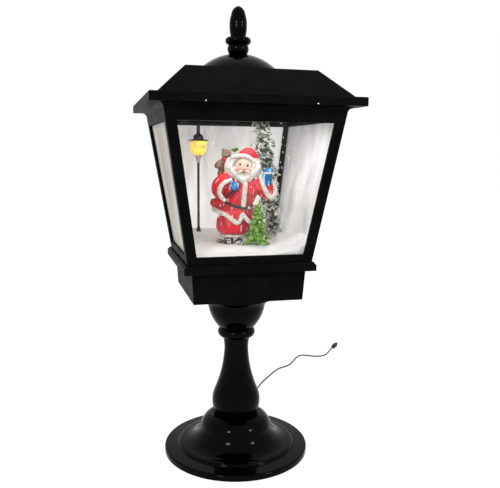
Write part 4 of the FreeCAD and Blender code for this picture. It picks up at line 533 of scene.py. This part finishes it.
figure = {
    "stand": (5, -10, 337.5), "turn": -14.3, "skinVoxel": 0.85, "furVoxel": 0.7,
    "robe": [(-12, 0, 16, 20, 14), (-12, 0, 17.5, 24, 17), (-12.5, 0, 23, 26, 18.5),
             (-13, 0, 28, 26.5, 18.5), (-13, 0, 38, 26, 17.5), (-11, 0, 46, 23, 16)],
    "coat": [(-11, 0, 32, 27, 18.5), (-12, 0, 36, 29, 20), (-13, 0, 44, 30, 20),
             (-11, 0, 53, 26, 18.5), (-6, 0, 60, 21.5, 17), (-3, 0, 67, 23, 18),
             (-1, 0, 78, 26, 18.5), (0, 0, 88, 26.5, 17.5), (1, 0, 97, 21, 14),
             (2, 0, 104, 10, 9)],
    "tail": [(-24, 2, 62, 9), (-34, 3, 62, 10), (-42, 4, 62, 8), (-48, 4, 64, 4)],
    "leftSleeve": [(-21, -1, 102, 9), (-29, -4, 98, 11), (-35, -8, 88, 12),
                   (-33, -12, 79, 12), (-26, -15, 76, 9.5)],
    "rightSleeve": [(20, -2, 96, 9.5), (27, -5, 87, 10.5), (34, -8, 79, 9.5),
                    (41, -11, 77, 8), (43.5, -12, 84, 6.5), (42, -13, 92, 5)],
    "hem": [(-45, 4, 54, 3.4), (-41, -8, 52, 3.4), (-32, -15, 49, 3.4), (-22, -19, 45, 3.4),
            (-13, -21, 38, 3.5), (-7, -21.8, 33, 3.5), (-3, -21.6, 35, 3.3),
            (-0.5, -21, 42, 3.2), (2, -20.5, 48.5, 3), (6.5, -20, 41, 3.2),
            (12, -18.5, 35, 3.4), (18.5, -13, 32.5, 3.4),
            (19.5, -2, 34, 3.4), (14, 13, 35, 3.4), (-10, 20, 36, 3.4), (-32, 15, 44, 3.4)],
    "frontBand": [(5.5, -18, 95, 3.6), (5, -20, 86, 3.8), (4, -20.5, 76, 3.8),
                  (3, -19.5, 66, 3.8), (2.4, -18.5, 58, 3.6)],
    "belt": [(-28, -6, 66, 2), (-22, -13.5, 63, 2), (-12, -18.4, 59, 2),
             (2, -20.8, 56.4, 2), (12, -17, 56.5, 2), (16.5, -8, 58, 2),
             (16, 6, 60, 2), (-2, 18, 62, 2), (-24, 12, 65, 2)],
    "leftCuff": [(-15, -17, 98, 2.8), (-23, -21.5, 96, 3.2), (-30.5, -23, 90, 3.5),
                 (-34, -23, 81, 3.6), (-31.5, -23, 73, 3.5), (-24, -20.5, 67, 3)],
    "rightCuff": [(28, -12, 104, 3.2), (30.5, -15, 96, 3.6), (34, -17, 86, 3.8),
                  (39, -18, 76.5, 3.8), (44.5, -18, 71, 3.8), (49.5, -17, 75, 3.7),
                  (51, -15, 82, 3.6), (49, -13, 91, 3.4), (46, -12, 98, 3)],
    "strap": [(-7, -24, 87, 1.6), (-14, -24.5, 80.5, 1.9), (-25, -21.5, 71, 1.7)],
    "loop": [(9.5, -20.5, 57, 0.7), (11.5, -20.3, 59, 0.7), (13.5, -19.5, 57, 0.7),
             (11.5, -20.3, 55, 0.7)],
    "boots": [(-20, -7), (-5, -8)],
    "bootRings": [(0, 0, 7.5, 11), (0, 1.5, 8, 11.5), (0, 4, 7.8, 10.5), (1.5, 8, 6.8, 8),
                  (3, 13, 6.6, 7)],
    "bootFur": (3, 12, (8.5, 9, 4)),    # back from the boot, height, size
    "robeFur": ((-13, 2, 12.5), (22, 15, 4)),
    "hairBall": ((0.5, 2.5, 113.5), (25.5, 12.5, 17.5)),
    "faceBall": ((3, -7.5, 118.5), (12.8, 10.5, 14.5)),
    "nose": ((3.1, -19, 115.2), (2.5, 2.6, 2.2)),
    "cheeks": [((-5.5, -15, 114), (4.2, 3, 3.6)), ((10.5, -14.3, 112.5), (4, 3, 3.5))],
    "eyes": [(-2.6, -17.3, 121.3), (8.6, -16.6, 119.8)],
    "eyeSize": (1.4, 0.9, 1.5), "eyeOut": 0.8,
    "mouth": ((2.6, -18.3, 109.6), (3, 1.3, 1.5)),
    "brim": [(-17, -4, 129, 3), (-12, -10.5, 132.5, 3.2), (-4, -14.5, 134.3, 3.3),
             (5, -15, 134, 3.3), (13, -13, 130.5, 3.3), (18.5, -8.5, 124, 3.2),
             (21, -1, 117.5, 3), (17, 9, 122, 3), (8, 13, 130, 3), (-4, 13, 134, 3),
             (-14, 6, 132, 3)],
    "crown": [(6, -1, 130, 15, 12.5), (7, -1, 136, 14, 11.5), (8, 0, 141, 10.5, 8.5),
              (8.5, 0, 144.5, 6, 5), (8.5, 0, 146.3, 2, 2)],
    "hatTail": [(9, 0, 141, 7), (16, 0, 137.5, 6.5), (20.5, 0, 131, 5.2), (22.5, -1, 124, 3)],
    "sackLumps": [((-24, 5, 136.5), (7.4, 6.4, 7.4)), ((-32.5, 5, 120), (8, 7, 8)),
                  ((-24, 8, 124), (10, 9, 10)), ((-29, 9, 107), (9, 7, 10)),
                  ((-28.5, 1, 142.5), (2.9, 2, 2.9)), ((-39, 4, 119), (3.4, 2.4, 4.5)),
                  ((-34, 3, 108), (3.4, 3, 4))],
    "ribbon": [(-30, 0.5, 130, 1.3), (-26, -3, 128, 1.6), (-21, -2, 126.5, 1.4),
               (-23, -4, 124, 1.3), (-27, -3.5, 125.5, 1.2)],
    "sprigs": [("tree_green", (-11, -3, 140), 30, 9.5), ("garland_green", (-32, -9, 2), 26, 9),
               ("garland_green", (3, -17, 2), 12, 6)],
    "hipBag": ((19, -18.5, 53), (4.8, 4, 9)),
}


hemShape = {"top": 52, "back": 10, "fade": 16, "point": -4, "peak": 2, "leftRise": 0.5,
            "peakRise": 2.6, "rightFall": 1.1}


def sculptHem(coat):
    # hem drops to a point left of the middle and opens in a peak over the robe
    point, peak = hemShape["point"], hemShape["peak"]
    for vertex in coat.data.vertices:
        x, y, z = (c / mm for c in vertex.co)
        if z > hemShape["top"] or y > hemShape["back"]:
            continue
        share = min(1, (hemShape["top"] - z) / hemShape["fade"])
        if x < point:
            lift = (point - x) * hemShape["leftRise"]
        elif x < peak:
            lift = (x - point) * hemShape["peakRise"]
        else:
            lift = max(0, (peak - point) * hemShape["peakRise"]
                       - (x - peak) * hemShape["rightFall"])
        vertex.co.z += lift * share * mm
    return coat


def settleFigure(form):
    form.location = [c * mm for c in figure["stand"]]
    form.rotation_euler = (0, 0, math.radians(figure["turn"]))
    return setDown(form)


def castPiece(form, voxel, smooth, grains, finishName, over=()):
    # one skin over the form, roughened layer by layer, painted and set in place
    castSkin(form, voxel, smooth)
    for size, depth in grains:
        roughen(form, size, depth)
    dress(settleFigure(form), finishName, over)


def makeCoat():
    coat = sculptHem(growForm("coat", figure["coat"], 48))
    forms = [coat, growForm("robe", figure["robe"], 40), pathForm("tail", figure["tail"]),
             pathForm("leftSleeve", figure["leftSleeve"], sides=6),
             pathForm("rightSleeve", figure["rightSleeve"], sides=6)]
    castPiece(joinForms("figureCoat", forms), figure["skinVoxel"], 4, [(14, 1.6), (4, 0.35)],
              "coat_red", over=("figure_body", "figure_arms"))


def makeFur():
    forms = [pathForm("hem", figure["hem"], closed=True), pathForm("band", figure["frontBand"]),
             pathForm("leftCuff", figure["leftCuff"]), pathForm("rightCuff", figure["rightCuff"])]
    back, height, size = figure["bootFur"]
    for x, y in figure["boots"]:
        forms.append(ballForm("bootFur", (x, y + back, height), size))
    forms.append(ballForm("robeFur", *figure["robeFur"]))
    castPiece(joinForms("figureFur", forms), figure["furVoxel"], 1, [(1.7, 1.5)],
              "fur_white")


def makeBlackTrim():
    belt = joinForms("figureBelt", [pathForm("belt", figure["belt"], closed=True),
                                    pathForm("strap", figure["strap"])])
    castPiece(belt, figure["furVoxel"], 1, [], "black_enamel")
    loop = joinForms("figureBeltLoop", [pathForm("loop", figure["loop"], closed=True)])
    dress(settleFigure(loop), "fur_white")
    boots = joinForms("figureBoots", [
        growForm("boot", [(x, y + back, height, wide, deep)
                          for back, height, wide, deep in figure["bootRings"]])
        for x, y in figure["boots"]])
    castPiece(boots, figure["furVoxel"], 1, [(3, 0.8)], "snowy_boot")


def makeHead():
    face = joinForms("figureFace", [ballForm("face", *figure["faceBall"], rings=16)])
    castPiece(face, 0.6, 3, [], "warm_skin")
    rosy = joinForms("figureCheeks", [ballForm("nose", *figure["nose"]),
                                      *[ballForm("cheek", *cheek) for cheek in figure["cheeks"]]])
    castPiece(rosy, 0.5, 2, [], "rosy_skin")
    mouth = ballForm("figureMouth", *figure["mouth"])
    dress(settleFigure(mouth), "soft_lips")
    eyes = joinForms("figureEyes", [
        ballForm("eye", (x, y - figure["eyeOut"], z), figure["eyeSize"])
        for x, y, z in figure["eyes"]])
    dress(settleFigure(eyes), "black_enamel")


beard = {
    "layers": [{"wide": 13, "out": 11, "root": 109, "lift": 4},
               {"wide": 18, "out": 9, "root": 116, "lift": 2},
               {"wide": 22.5, "out": 7, "root": 123, "lift": 0}],
    "locks": 19, "middle": 2.5, "front": -5, "rootDrop": 5, "wave": 2.6,
    "tip": 89, "tipRise": 15, "tipCurve": 1.7, "tipSpread": 2,
    # each bend: inward, sway, back, share from tip to root, radius
    "bends": [(2, 0, 2, 1, 1.4), (0, 1, -1.5, 0.7, 2.2), (0, -1, -1.5, 0.35, 2.1),
              (3, 0.8, -0.5, 0, 0.6)],
    "sideLocks": 14, "sideMiddle": 1, "sideWide": 15.5, "sideStep": 1.5, "sideWave": 1.5,
    "sideFront": -9.5, "sideBack": 1.1, "sideSpread": 3,
    # each bend: outward, sway, back, height, share of the spread, radius
    "sideBends": [(-4, 0, 0, 131, 0, 1.4), (0, 1, -1, 124, 0, 2.1), (2.5, -1, -1, 114, 0, 2.3),
                  (1, 0, 0, 102, 1, 0.8)],
    "moustache": [[(1.8, -18.4, 112.2, 0.9), (-1.75, -18.6, 111.4, 1.5),
                   (-6.5, -16.8, 108.6, 1.4), (-10.3, -14.6, 106.2, 0.5)],
                  [(4.2, -18.4, 112.2, 0.9), (7.25, -18.6, 111.4, 1.5),
                   (11.5, -16.8, 108.6, 1.4), (14.9, -14.6, 106.2, 0.5)]],
    "brow": [(-2.6, 0.2, 3.2, 0.5), (0, -0.6, 4.3, 0.8), (2.6, 0.3, 3.2, 0.5)],
}


def beardLock(layer, share):
    # share runs from the left cheek over the chin to the right cheek
    angle = math.pi * (1 + share)
    side, out = math.cos(angle), -math.sin(angle)
    wave = jitter(beard["wave"])
    low = (beard["tip"] + beard["tipRise"] * abs(side) ** beard["tipCurve"] + layer["lift"]
           + jitter(beard["tipSpread"]))
    middle = beard["middle"] + side * layer["wide"]
    front = beard["front"] - out * layer["out"]
    root = layer["root"] - beard["rootDrop"] * out
    return pathForm("lock", [
        (middle - side * inward + wave * sway, front + back, low + (root - low) * up, radius)
        for inward, sway, back, up, radius in beard["bends"]], sides=2)


def sideLock(number):
    side, row = (-1 if number % 2 else 1), number // 2
    wide = beard["sideWide"] + beard["sideStep"] * row
    front = beard["sideFront"] + beard["sideBack"] * row
    wave = jitter(beard["sideWave"])
    drop = jitter(beard["sideSpread"])
    return pathForm("sideLock", [
        (beard["sideMiddle"] + side * (wide + outward) + wave * sway, front + back,
         height + drop * share, radius)
        for outward, sway, back, height, share, radius in beard["sideBends"]], sides=2)


def makeBeard():
    # locks hang round the face in three layers, and more lie at both sides of it
    forms = [ballForm("hair", *figure["hairBall"], rings=16)]
    for layer in beard["layers"]:
        forms += [beardLock(layer, number / (beard["locks"] - 1))
                  for number in range(beard["locks"])]
    forms += [sideLock(number) for number in range(beard["sideLocks"])]
    forms += [pathForm("moustache", points) for points in beard["moustache"]]
    for x, y, z in figure["eyes"]:
        forms.append(pathForm("brow", [(x + across, y + back, z + up, radius)
                                       for across, back, up, radius in beard["brow"]]))
    castPiece(joinForms("figureBeard", forms), 0.5, 0, [(1.3, 0.5)], "beard_white",
              over=("figure_head",))


def makeHat():
    crown = joinForms("figureHat", [growForm("crown", figure["crown"], 32),
                                    pathForm("hatTail", figure["hatTail"], sides=5)])
    castPiece(crown, 0.8, 4, [(7, 1.2)], "coat_red", over=("figure_hat",))
    brim = pathForm("figureBrim", figure["brim"], closed=True)
    castPiece(brim, 0.6, 1, [(1.8, 1.5)], "fur_white")


mittens = {
    "leftPalm": ((-10.5, -21.5, 90), (6.5, 5, 6.2)),
    "leftThumb": ((-14, -23, 94.5), (2.6, 2.6, 3.6), (0, -25, 0)),
    "fingers": 3, "fingerSteps": (3.4, 3.4, 3.2),
    "finger": [(-15.5, -22, 88, 2), (-14.5, -26.5, 87, 2.1), (-13, -26, 83.4, 1.9)],
    "rightPalm": [(39, -14, 90, 4, 4), (38.4, -14.5, 97, 5.6, 4.6), (38.6, -15, 105, 7, 5),
                  (40, -15.5, 112, 7, 4.8), (41.5, -16, 116.5, 4.5, 3.2)],
    "rightThumb": [(34.5, -16, 98, 2.2), (32.6, -18, 103, 2.6), (33.5, -19, 108, 2)],
    "band": [(39.3, -15.3, 107.4, 7.1, 5.3), (39.5, -15.3, 108, 7.7, 5.7),
             (39.9, -15.5, 109.6, 7.7, 5.7), (40.1, -15.5, 110.2, 7.1, 5.3)],
}


def makeMittens():
    # left one is a fist round the strap, right one is held up open
    forms = [ballForm("palm", *mittens["leftPalm"]), ballForm("thumb", *mittens["leftThumb"])]
    for number in range(mittens["fingers"]):
        forms.append(pathForm("finger", [
            (x + step * number, y, z, radius)
            for (x, y, z, radius), step in zip(mittens["finger"], mittens["fingerSteps"])]))
    forms.append(growForm("palm", mittens["rightPalm"]))
    forms.append(pathForm("thumb", mittens["rightThumb"]))
    castPiece(joinForms("figureMittens", forms), 0.6, 3, [(3, 0.4)], "mitten_blue")
    band = joinForms("figureMittenBand", [growForm("band", mittens["band"])])
    dress(settleFigure(band), "fur_white")


def makeSack():
    whole = joinForms("figureSack", [ballForm("lump", *lump) for lump in figure["sackLumps"]]
                      + [ballForm("bag", *figure["hipBag"])])
    castPiece(whole, 0.8, 2, [(3, 0.8)], "sack_brown", over=("figure_sack",))
    dress(settleFigure(pathForm("sackRibbon", figure["ribbon"])), "coat_red")
    for name, place, count, reach in figure["sprigs"]:
        dress(settleFigure(makeSprig(place, count, reach)), name)


sprig = {"across": 1.6, "back": -0.4, "depth": 0.5, "rise": 0.5, "shortest": 0.7,
         "needle": [(0, 0, 1), (0.6, 0.7, 0.9), (1, 0.9, 0.3)]}


def makeSprig(place, count, reach):
    # each needle point: share of its reach outward, share upward, radius
    x, y, z = place
    needles = []
    for number in range(count):
        turn = random.uniform(0, 2 * math.pi)
        away = Vector((math.cos(turn) * sprig["across"],
                       sprig["back"] + sprig["depth"] * math.sin(turn),
                       sprig["rise"] + random.random()))
        away = away.normalized() * random.uniform(sprig["shortest"], 1) * reach
        needles.append(pathForm("needle", [
            (x + away.x * out, y + away.y * out, z + away.z * up, radius)
            for out, up, radius in sprig["needle"]], sides=1))
    return joinForms("figureSprig", needles)


makeCoat()
makeFur()
makeBlackTrim()
makeHead()
makeBeard()
makeHat()
makeMittens()
makeSack()
print("figure stands")


# small tree

pine = {"foot": (21.5, -37, 340), "height": 69, "lean": 4, "reach": 20.5, "tiers": 10,
        "branches": 10, "fewest": 5, "thinning": 0.45, "reachCurve": 1.05, "topReach": 2.2,
        "lowest": 4, "bareTop": 12, "swing": 0.2, "lengths": (0.68, 1.14),
        "droop": 2.5, "lowDroop": 4, "droops": (0.5, 1.2), "trunkRadii": (2.6, 1.8, 1.2, 0.4),
        "branchRadii": (1.8, 3.2, 0.8), "twigs": (0.45, 0.7), "twigReach": 0.26,
        "twigOut": 0.8, "twigRadii": (1.5, 2, 0.35)}


def makeBranch(spot, out, length, droop):
    # bough that dips at its end, with a pair of twigs at two places
    side = Vector((-out.y, out.x, 0))
    spine = [spot + Vector((0, 0, 4)), spot + Vector((0, 0, 3.5)) + out * length * 0.5,
             spot + Vector((0, 0, 2 - droop)) + out * length]
    forms = [pathForm("branch", [(*point, radius) for point, radius
                                 in zip(spine, pine["branchRadii"])], sides=1)]
    for along in pine["twigs"]:
        root = spine[0].lerp(spine[2], along) + Vector((0, 0, 1.2 * (1 - along) + 0.4))
        for way in (-1, 1):
            tip = root + (out * pine["twigOut"] + side * way) * length * pine["twigReach"]
            points = [root, root.lerp(tip, 0.55), tip - Vector((0, 0, droop * 0.25))]
            forms.append(pathForm("twig", [(*point, radius) for point, radius
                                           in zip(points, pine["twigRadii"])], sides=1))
    return forms


def makeSmallTree():
    footX, footY, footZ = pine["foot"]
    tall, lean, tiers = pine["height"], pine["lean"], pine["tiers"]
    trunk = [(footX, footZ - 3), (footX + lean / 2, footZ + tall / 2),
             (footX + lean, footZ + tall - 8), (footX + lean + 0.6, footZ + tall)]
    forms = [pathForm("trunk", [(x, footY, z, radius) for (x, z), radius
                                in zip(trunk, pine["trunkRadii"])])]
    for tier in range(tiers):
        share = tier / tiers
        reach = pine["reach"] * (1 - share) ** pine["reachCurve"] + pine["topReach"]
        spot = Vector((footX + lean * share, footY,
                       footZ + pine["lowest"] + (tall - pine["bareTop"]) * share))
        branches = max(pine["fewest"], int(pine["branches"] * (1 - share * pine["thinning"])))
        for branch in range(branches):
            angle = 2 * math.pi * (branch + 0.5 * (tier % 2)) / branches + jitter(pine["swing"])
            out = Vector((math.cos(angle), math.sin(angle), 0))
            length = reach * random.uniform(*pine["lengths"])
            droop = pine["droop"] + pine["lowDroop"] * (1 - share)
            forms += makeBranch(spot, out, length, droop * random.uniform(*pine["droops"]))
    whole = joinForms("pineTree", forms)
    castSkin(whole, 0.6, 0)
    roughen(whole, 1.6, 1.1)
    dress(whole, "tree_green", over=("small_tree",))


makeSmallTree()
print("small tree grown")


# garland round the riser tube

garland = {"foot": (69.5, 30, 339), "head": (46.8, 30, 526), "core": 6.6,
           "shift": (-1.5, -2, 0), "sprigs": 230, "goldenTurn": 2.399, "reach": 10,
           "clear": 5.5, "leafTurns": (-60, 0, 60, 130), "leafSizes": (0.6, 1.1),
           "leafLength": 8.5, "leafWidth": 2.9, "leafThick": 0.4, "leafFold": 0.45,
           "leafArch": 1.2, "frosted": 0.62, "frostStart": 0.3, "coreRings": 12}


def makeLeaf(frosted):
    # pointed leaf, folded along its middle; a frosted one is pale past its root
    length = garland["leafLength"] * mm
    bpy.ops.mesh.primitive_grid_add(x_subdivisions=2, y_subdivisions=4, size=1)
    leaf = bpy.context.object
    leaf.name = "leaf"
    leaf.scale = (garland["leafWidth"] * mm, length, 1)
    leaf.location = (0, length / 2, 0)
    setDown(leaf)
    for vertex in leaf.data.vertices:
        along = vertex.co.y / length
        vertex.co.x *= 0.35 + 1.3 * math.sin(math.pi * min(1, along * 0.85 + 0.1))
        vertex.co.z = (garland["leafArch"] * mm * math.sin(along * 2.4)
                       - abs(vertex.co.x) * garland["leafFold"])
    applyModifier(leaf, "SOLIDIFY", thickness=garland["leafThick"] * mm, offset=0)
    leaf.data.materials.append(finishes["garland_green"])
    leaf.data.materials.append(finishes["leaf_frost"])
    for face in leaf.data.polygons:
        pale = frosted and face.center.y > length * garland["frostStart"]
        face.material_index = 1 if pale else 0
    return leaf


def makeGarland():
    plain, frosted = makeLeaf(False), makeLeaf(True)
    foot, head = Vector(garland["foot"]), Vector(garland["head"])
    leaves = []
    for number in range(garland["sprigs"]):
        share = (number + random.random()) / garland["sprigs"]
        swell = 0.62 + 0.42 * math.sin(share * 24 + 1.2) + 0.25 * math.sin(share * 57)
        angle = number * garland["goldenTurn"] + jitter(0.5)
        reach = max(2, garland["reach"] * swell * random.uniform(0.5, 1.15)) + garland["clear"]
        spot = foot.lerp(head, share) + Vector(garland["shift"])
        spot += Vector((math.cos(angle) * reach, math.sin(angle) * reach, jitter(2)))
        way = Vector((math.cos(angle), math.sin(angle), random.uniform(-0.4, 1))).normalized()
        for turn in garland["leafTurns"]:
            swing = Matrix.Rotation(math.radians(turn + jitter(20)), 4, way)
            aim = (way * 0.6 + (swing @ way.orthogonal()) * random.uniform(0.4, 1.1)).normalized()
            source = frosted if random.random() < garland["frosted"] else plain
            piece = source.copy()
            piece.data = source.data.copy()
            scene.collection.objects.link(piece)
            piece.matrix_world = (Matrix.Translation(spot * mm)
                                  @ aim.to_track_quat("Y", "Z").to_matrix().to_4x4()
                                  @ Matrix.Scale(random.uniform(*garland["leafSizes"]), 4))
            leaves.append(piece)
    bpy.data.objects.remove(plain)
    bpy.data.objects.remove(frosted)
    pick(*leaves)
    bpy.ops.object.transform_apply(location=True, rotation=True, scale=True)
    rings, half = garland["coreRings"], garland["core"]
    core = growForm("garlandCore", [(*foot.lerp(head, k / rings), half, half)
                                    for k in range(rings + 1)], 16)
    core.data.materials.append(finishes["garland_green"])
    roughen(core, 5, 1.4)
    whole = joinForms("garlandLeaves", leaves + [core])
    dress(whole, None, ("garland",))


makeGarland()
print("garland wound")


# two pins at the front eave

eavePins = {"places": [(-75, -146.5, 541.2), (75, -146.5, 541.2)], "size": (1.1, 0.7, 1.1)}


def makeEavePins():
    pins = joinForms("eavePins", [ballForm("pin", place, eavePins["size"], rings=6)
                                  for place in eavePins["places"]])
    roughen(pins, 0.5, 0.1)
    dress(pins, "zinc_steel")


makeEavePins()
print("eave pinned")


# snow bed, corner rods and the snow that clings to the panes

cage = {"foot": 319.3, "footHalf": 91.3, "lean": 0.16209, "paneDepth": 7.2}
snow = {"under": 323, "level": 331, "steps": 90, "grain": 0.25, "smoothBelow": 60,
        "bank": 27, "bankStart": 30, "bankRun": 56, "bankCurve": 1.6, "bankBack": 70,
        "frontShare": 0.6, "frontRun": 30,
        "rises": [(-86, 330.4), (-67, 331.6), (-42, 337.3), (22, 337.8), (46, 343.5),
                  (86, 349.5)],
        "mounds": [(66, 24, 13, 13), (-50, 62, 5, 22), (21, -38, 3.5, 20), (-14, 2, 1.5, 26)]}


def paneHalf(height):
    return cage["footHalf"] + (height - cage["foot"]) * cage["lean"] - cage["paneDepth"]


def snowHeight(x, y):
    # terrace that rises to the back, a bank along the right pane and a few mounds
    rises = snow["rises"]
    height = (rises[0] if y < rises[0][0] else rises[-1])[1]
    for (startY, low), (endY, high) in zip(rises, rises[1:]):
        if startY <= y <= endY:
            share = (y - startY) / (endY - startY)
            height = low + (high - low) * share * share * (3 - 2 * share)
            break
    edge, back = rises[0][0], snow["bankBack"]
    bank = max(0, min(1, (x - snow["bankStart"]) / snow["bankRun"]))
    front = min(1, snow["frontShare"] + (1 - snow["frontShare"]) * (y - edge) / snow["frontRun"])
    height += (snow["bank"] * bank ** snow["bankCurve"] * front
               * max(0, min(1, (back - y) / (back - edge))))
    for middleX, middleY, rise, reach in snow["mounds"]:
        far = ((x - middleX) ** 2 + (y - middleY) ** 2) / reach ** 2
        height += rise * math.exp(-far)
    return height


def makeSnowBed():
    bpy.ops.mesh.primitive_grid_add(x_subdivisions=snow["steps"],
                                    y_subdivisions=snow["steps"], size=2)
    bed = bpy.context.object
    bed.name = "snowBed"
    openEdit()
    bpy.ops.mesh.extrude_region_move(TRANSFORM_OT_translate={"value": (0, 0, -1)})
    closeEdit()
    level = paneHalf(snow["level"])
    for vertex in bed.data.vertices:
        x, y, layer = vertex.co
        if layer < -0.5:
            height = snow["under"]
        else:
            height = snowHeight(x * level, y * level) + jitter(snow["grain"])
        half = paneHalf(height)
        vertex.co = (x * half * mm, y * half * mm, height * mm)
    smoothBelow(bed, snow["smoothBelow"])
    dress(bed, "snow_white", over=("snow_bed",))


rod = {"radius": 4.6, "heights": (330, 400, 470, 527)}


def makeCornerRods():
    rods = []
    for side in (-1, 1):
        points = []
        for height in rod["heights"]:
            reach = paneHalf(height) - rod["radius"]
            points.append((side * reach, reach, height, rod["radius"]))
        rods.append(pathForm("rod", points, sides=4))
    dress(joinForms("cornerRods", rods), "satin_black")


# across is a way along the pane, or on the rod a turn round it in degrees
cling = {
    "front": {"count": 48, "heights": (345, 516), "across": (-62, 80), "wide": (0.35, 0.6),
              "tall": (1.2, 2.6)},
    "right": {"count": 34, "heights": (372, 520), "across": (-70, 70), "wide": (0.5, 0.9),
              "tall": (1.2, 2.4)},
    "rod": {"count": 26, "heights": (352, 524), "across": (200, 290), "wide": (0.8, 1.5),
            "tall": (1.3, 3)}}
clingDepth = {"pane": 0.5, "rod": 4.4, "lean": 0.3}


def clingSpot(where, facts):
    height, across = random.uniform(*facts["heights"]), random.uniform(*facts["across"])
    half = paneHalf(height)
    if where == "front":
        x, y = across, clingDepth["pane"] - half
    elif where == "right":
        x, y = half - clingDepth["pane"], across
    else:
        reach, turn = half - rod["radius"], math.radians(across)
        x = reach + clingDepth["rod"] * math.cos(turn)
        y = reach + clingDepth["rod"] * math.sin(turn)
    return x, y, height, random.uniform(*facts["wide"]), random.uniform(*facts["tall"])


def makeClingingSnow():
    spots = [clingSpot(where, facts) for where, facts in cling.items()
             for number in range(facts["count"])]
    beads = []
    for x, y, z, wide, tall in spots:
        bpy.ops.mesh.primitive_ico_sphere_add(subdivisions=2, radius=mm,
                                              location=(x * mm, y * mm, z * mm))
        bead = bpy.context.object
        bead.scale = (wide, wide, tall)
        bead.rotation_euler = (0, jitter(clingDepth["lean"]), 0)
        beads.append(setDown(bead))
    whole = joinForms("clingingSnow", beads)
    roughen(whole, 0.8, 0.3)
    dress(whole, "snow_white")


makeSnowBed()
makeCornerRods()
makeClingingSnow()
print("snow laid")


# top, collar and cup of the mini lamp, as height and half width

miniLamp = {"place": (-50, 62), "smoothBelow": 35,
            "roof": [(493.9, 15), (494.3, 16.2), (495.6, 15.8), (496.6, 10), (497.6, 8.3),
                     (500.5, 8.2), (503, 6.8), (504.8, 4.2), (505.8, 2.9), (527.2, 2.8)],
            "collar": [(459.5, 2.3), (461.5, 3.1), (465.5, 3.6), (468.6, 5), (470.4, 5.2)],
            "cup": [(470.4, 6.4), (471.4, 7.8), (473, 8.6), (473.8, 8.4)]}


def miniLampRing(name, profile, sides):
    x, y = miniLamp["place"]
    return growForm(name, [(x, y, height, half, half) for height, half in profile], sides)


def makeMiniLampTop():
    # low brim under a small ball, with the tube rising from it
    roof = miniLampRing("miniLampTop", miniLamp["roof"], 40)
    smoothBelow(roof, miniLamp["smoothBelow"])
    dress(roof, "mini_bronze", over=("mini_lamp_roof",))
    dress(miniLampRing("miniLampCollar", miniLamp["collar"], 28), "zinc_steel")
    dress(miniLampRing("miniLampCup", miniLamp["cup"], 28), "mini_bronze")


makeMiniLampTop()
print("mini lamp topped")


# studio

# each lamp: name, place, aim, width, height, power
studio = {"floorHalf": 6, "floorGrey": (0.8, 0.8, 0.8, 1), "shadowShare": 0.16,
          "floorWhite": 1.2, "fill": 0.55,
          "lamps": [("leftSoftbox", (-0.9, -1.2, 0.98), (0, 0, 0.35), 0.24, 0.26, 8.5),
                    ("rightSoftbox", (1.1, -1.3, 1.05), (0, 0, 0.35), 0.26, 0.26, 8.5),
                    ("innerLight", (0, -0.04, 0.521), (0, -0.04, 0.3), 0.16, 0.1, 0.155)]}


def seenDirectly(tree):
    # 1 where a camera, glossy or transmission ray lands, else 0
    path = addNode(tree, "LightPath")
    share = path.outputs["Is Camera Ray"]
    for ray in ("Is Glossy Ray", "Is Transmission Ray"):
        either = addNode(tree, "Math")
        either.operation = "MAXIMUM"
        tree.links.new(share, either.inputs[0])
        tree.links.new(path.outputs[ray], either.inputs[1])
        share = either.outputs[0]
    return share


def makeFloor():
    # white where it is seen, with a share of its own grey that carries the shadow
    bpy.ops.mesh.primitive_plane_add(size=studio["floorHalf"] * 2, location=(0, 0, 0))
    floor = bpy.context.object
    floor.name = "studioFloor"
    material = bpy.data.materials.new("paleFloor")
    material.use_nodes = True
    tree = material.node_tree
    tree.nodes.clear()
    out = addNode(tree, "OutputMaterial")
    diffuse = addNode(tree, "BsdfDiffuse", {"Color": studio["floorGrey"]})
    white = addNode(tree, "Emission", {"Color": (1, 1, 1, 1), "Strength": studio["floorWhite"]})
    share = addNode(tree, "Math", {1: 1 - studio["shadowShare"]})
    share.operation = "MULTIPLY"
    tree.links.new(seenDirectly(tree), share.inputs[0])
    mix = addNode(tree, "MixShader")
    tree.links.new(share.outputs[0], mix.inputs["Fac"])
    tree.links.new(diffuse.outputs[0], mix.inputs[1])
    tree.links.new(white.outputs[0], mix.inputs[2])
    tree.links.new(mix.outputs[0], out.inputs["Surface"])
    floor.data.materials.append(material)


def makeWorld():
    # white where it is seen, and a softer fill on the surfaces
    world = bpy.data.worlds.new("studioWorld")
    scene.world = world
    world.use_nodes = True
    tree = world.node_tree
    tree.nodes.clear()
    out = addNode(tree, "OutputWorld")
    sky = addNode(tree, "Background", {"Color": (1, 1, 1, 1)})
    tree.links.new(spread(tree, seenDirectly(tree), studio["fill"], 1), sky.inputs["Strength"])
    tree.links.new(sky.outputs[0], out.inputs["Surface"])


def addSoftbox(name, place, aim, width, height, power):
    data = bpy.data.lights.new(name, "AREA")
    data.shape = "RECTANGLE"
    data.size = width
    data.size_y = height
    data.energy = power
    lamp = bpy.data.objects.new(name, data)
    scene.collection.objects.link(lamp)
    lamp.location = place
    way = Vector(aim) - Vector(place)
    lamp.rotation_euler = way.to_track_quat("-Z", "Y").to_euler()


makeFloor()
makeWorld()
for lampFacts in studio["lamps"]:
    addSoftbox(*lampFacts)
scene.view_settings.view_transform = "Standard"
print("studio lit")
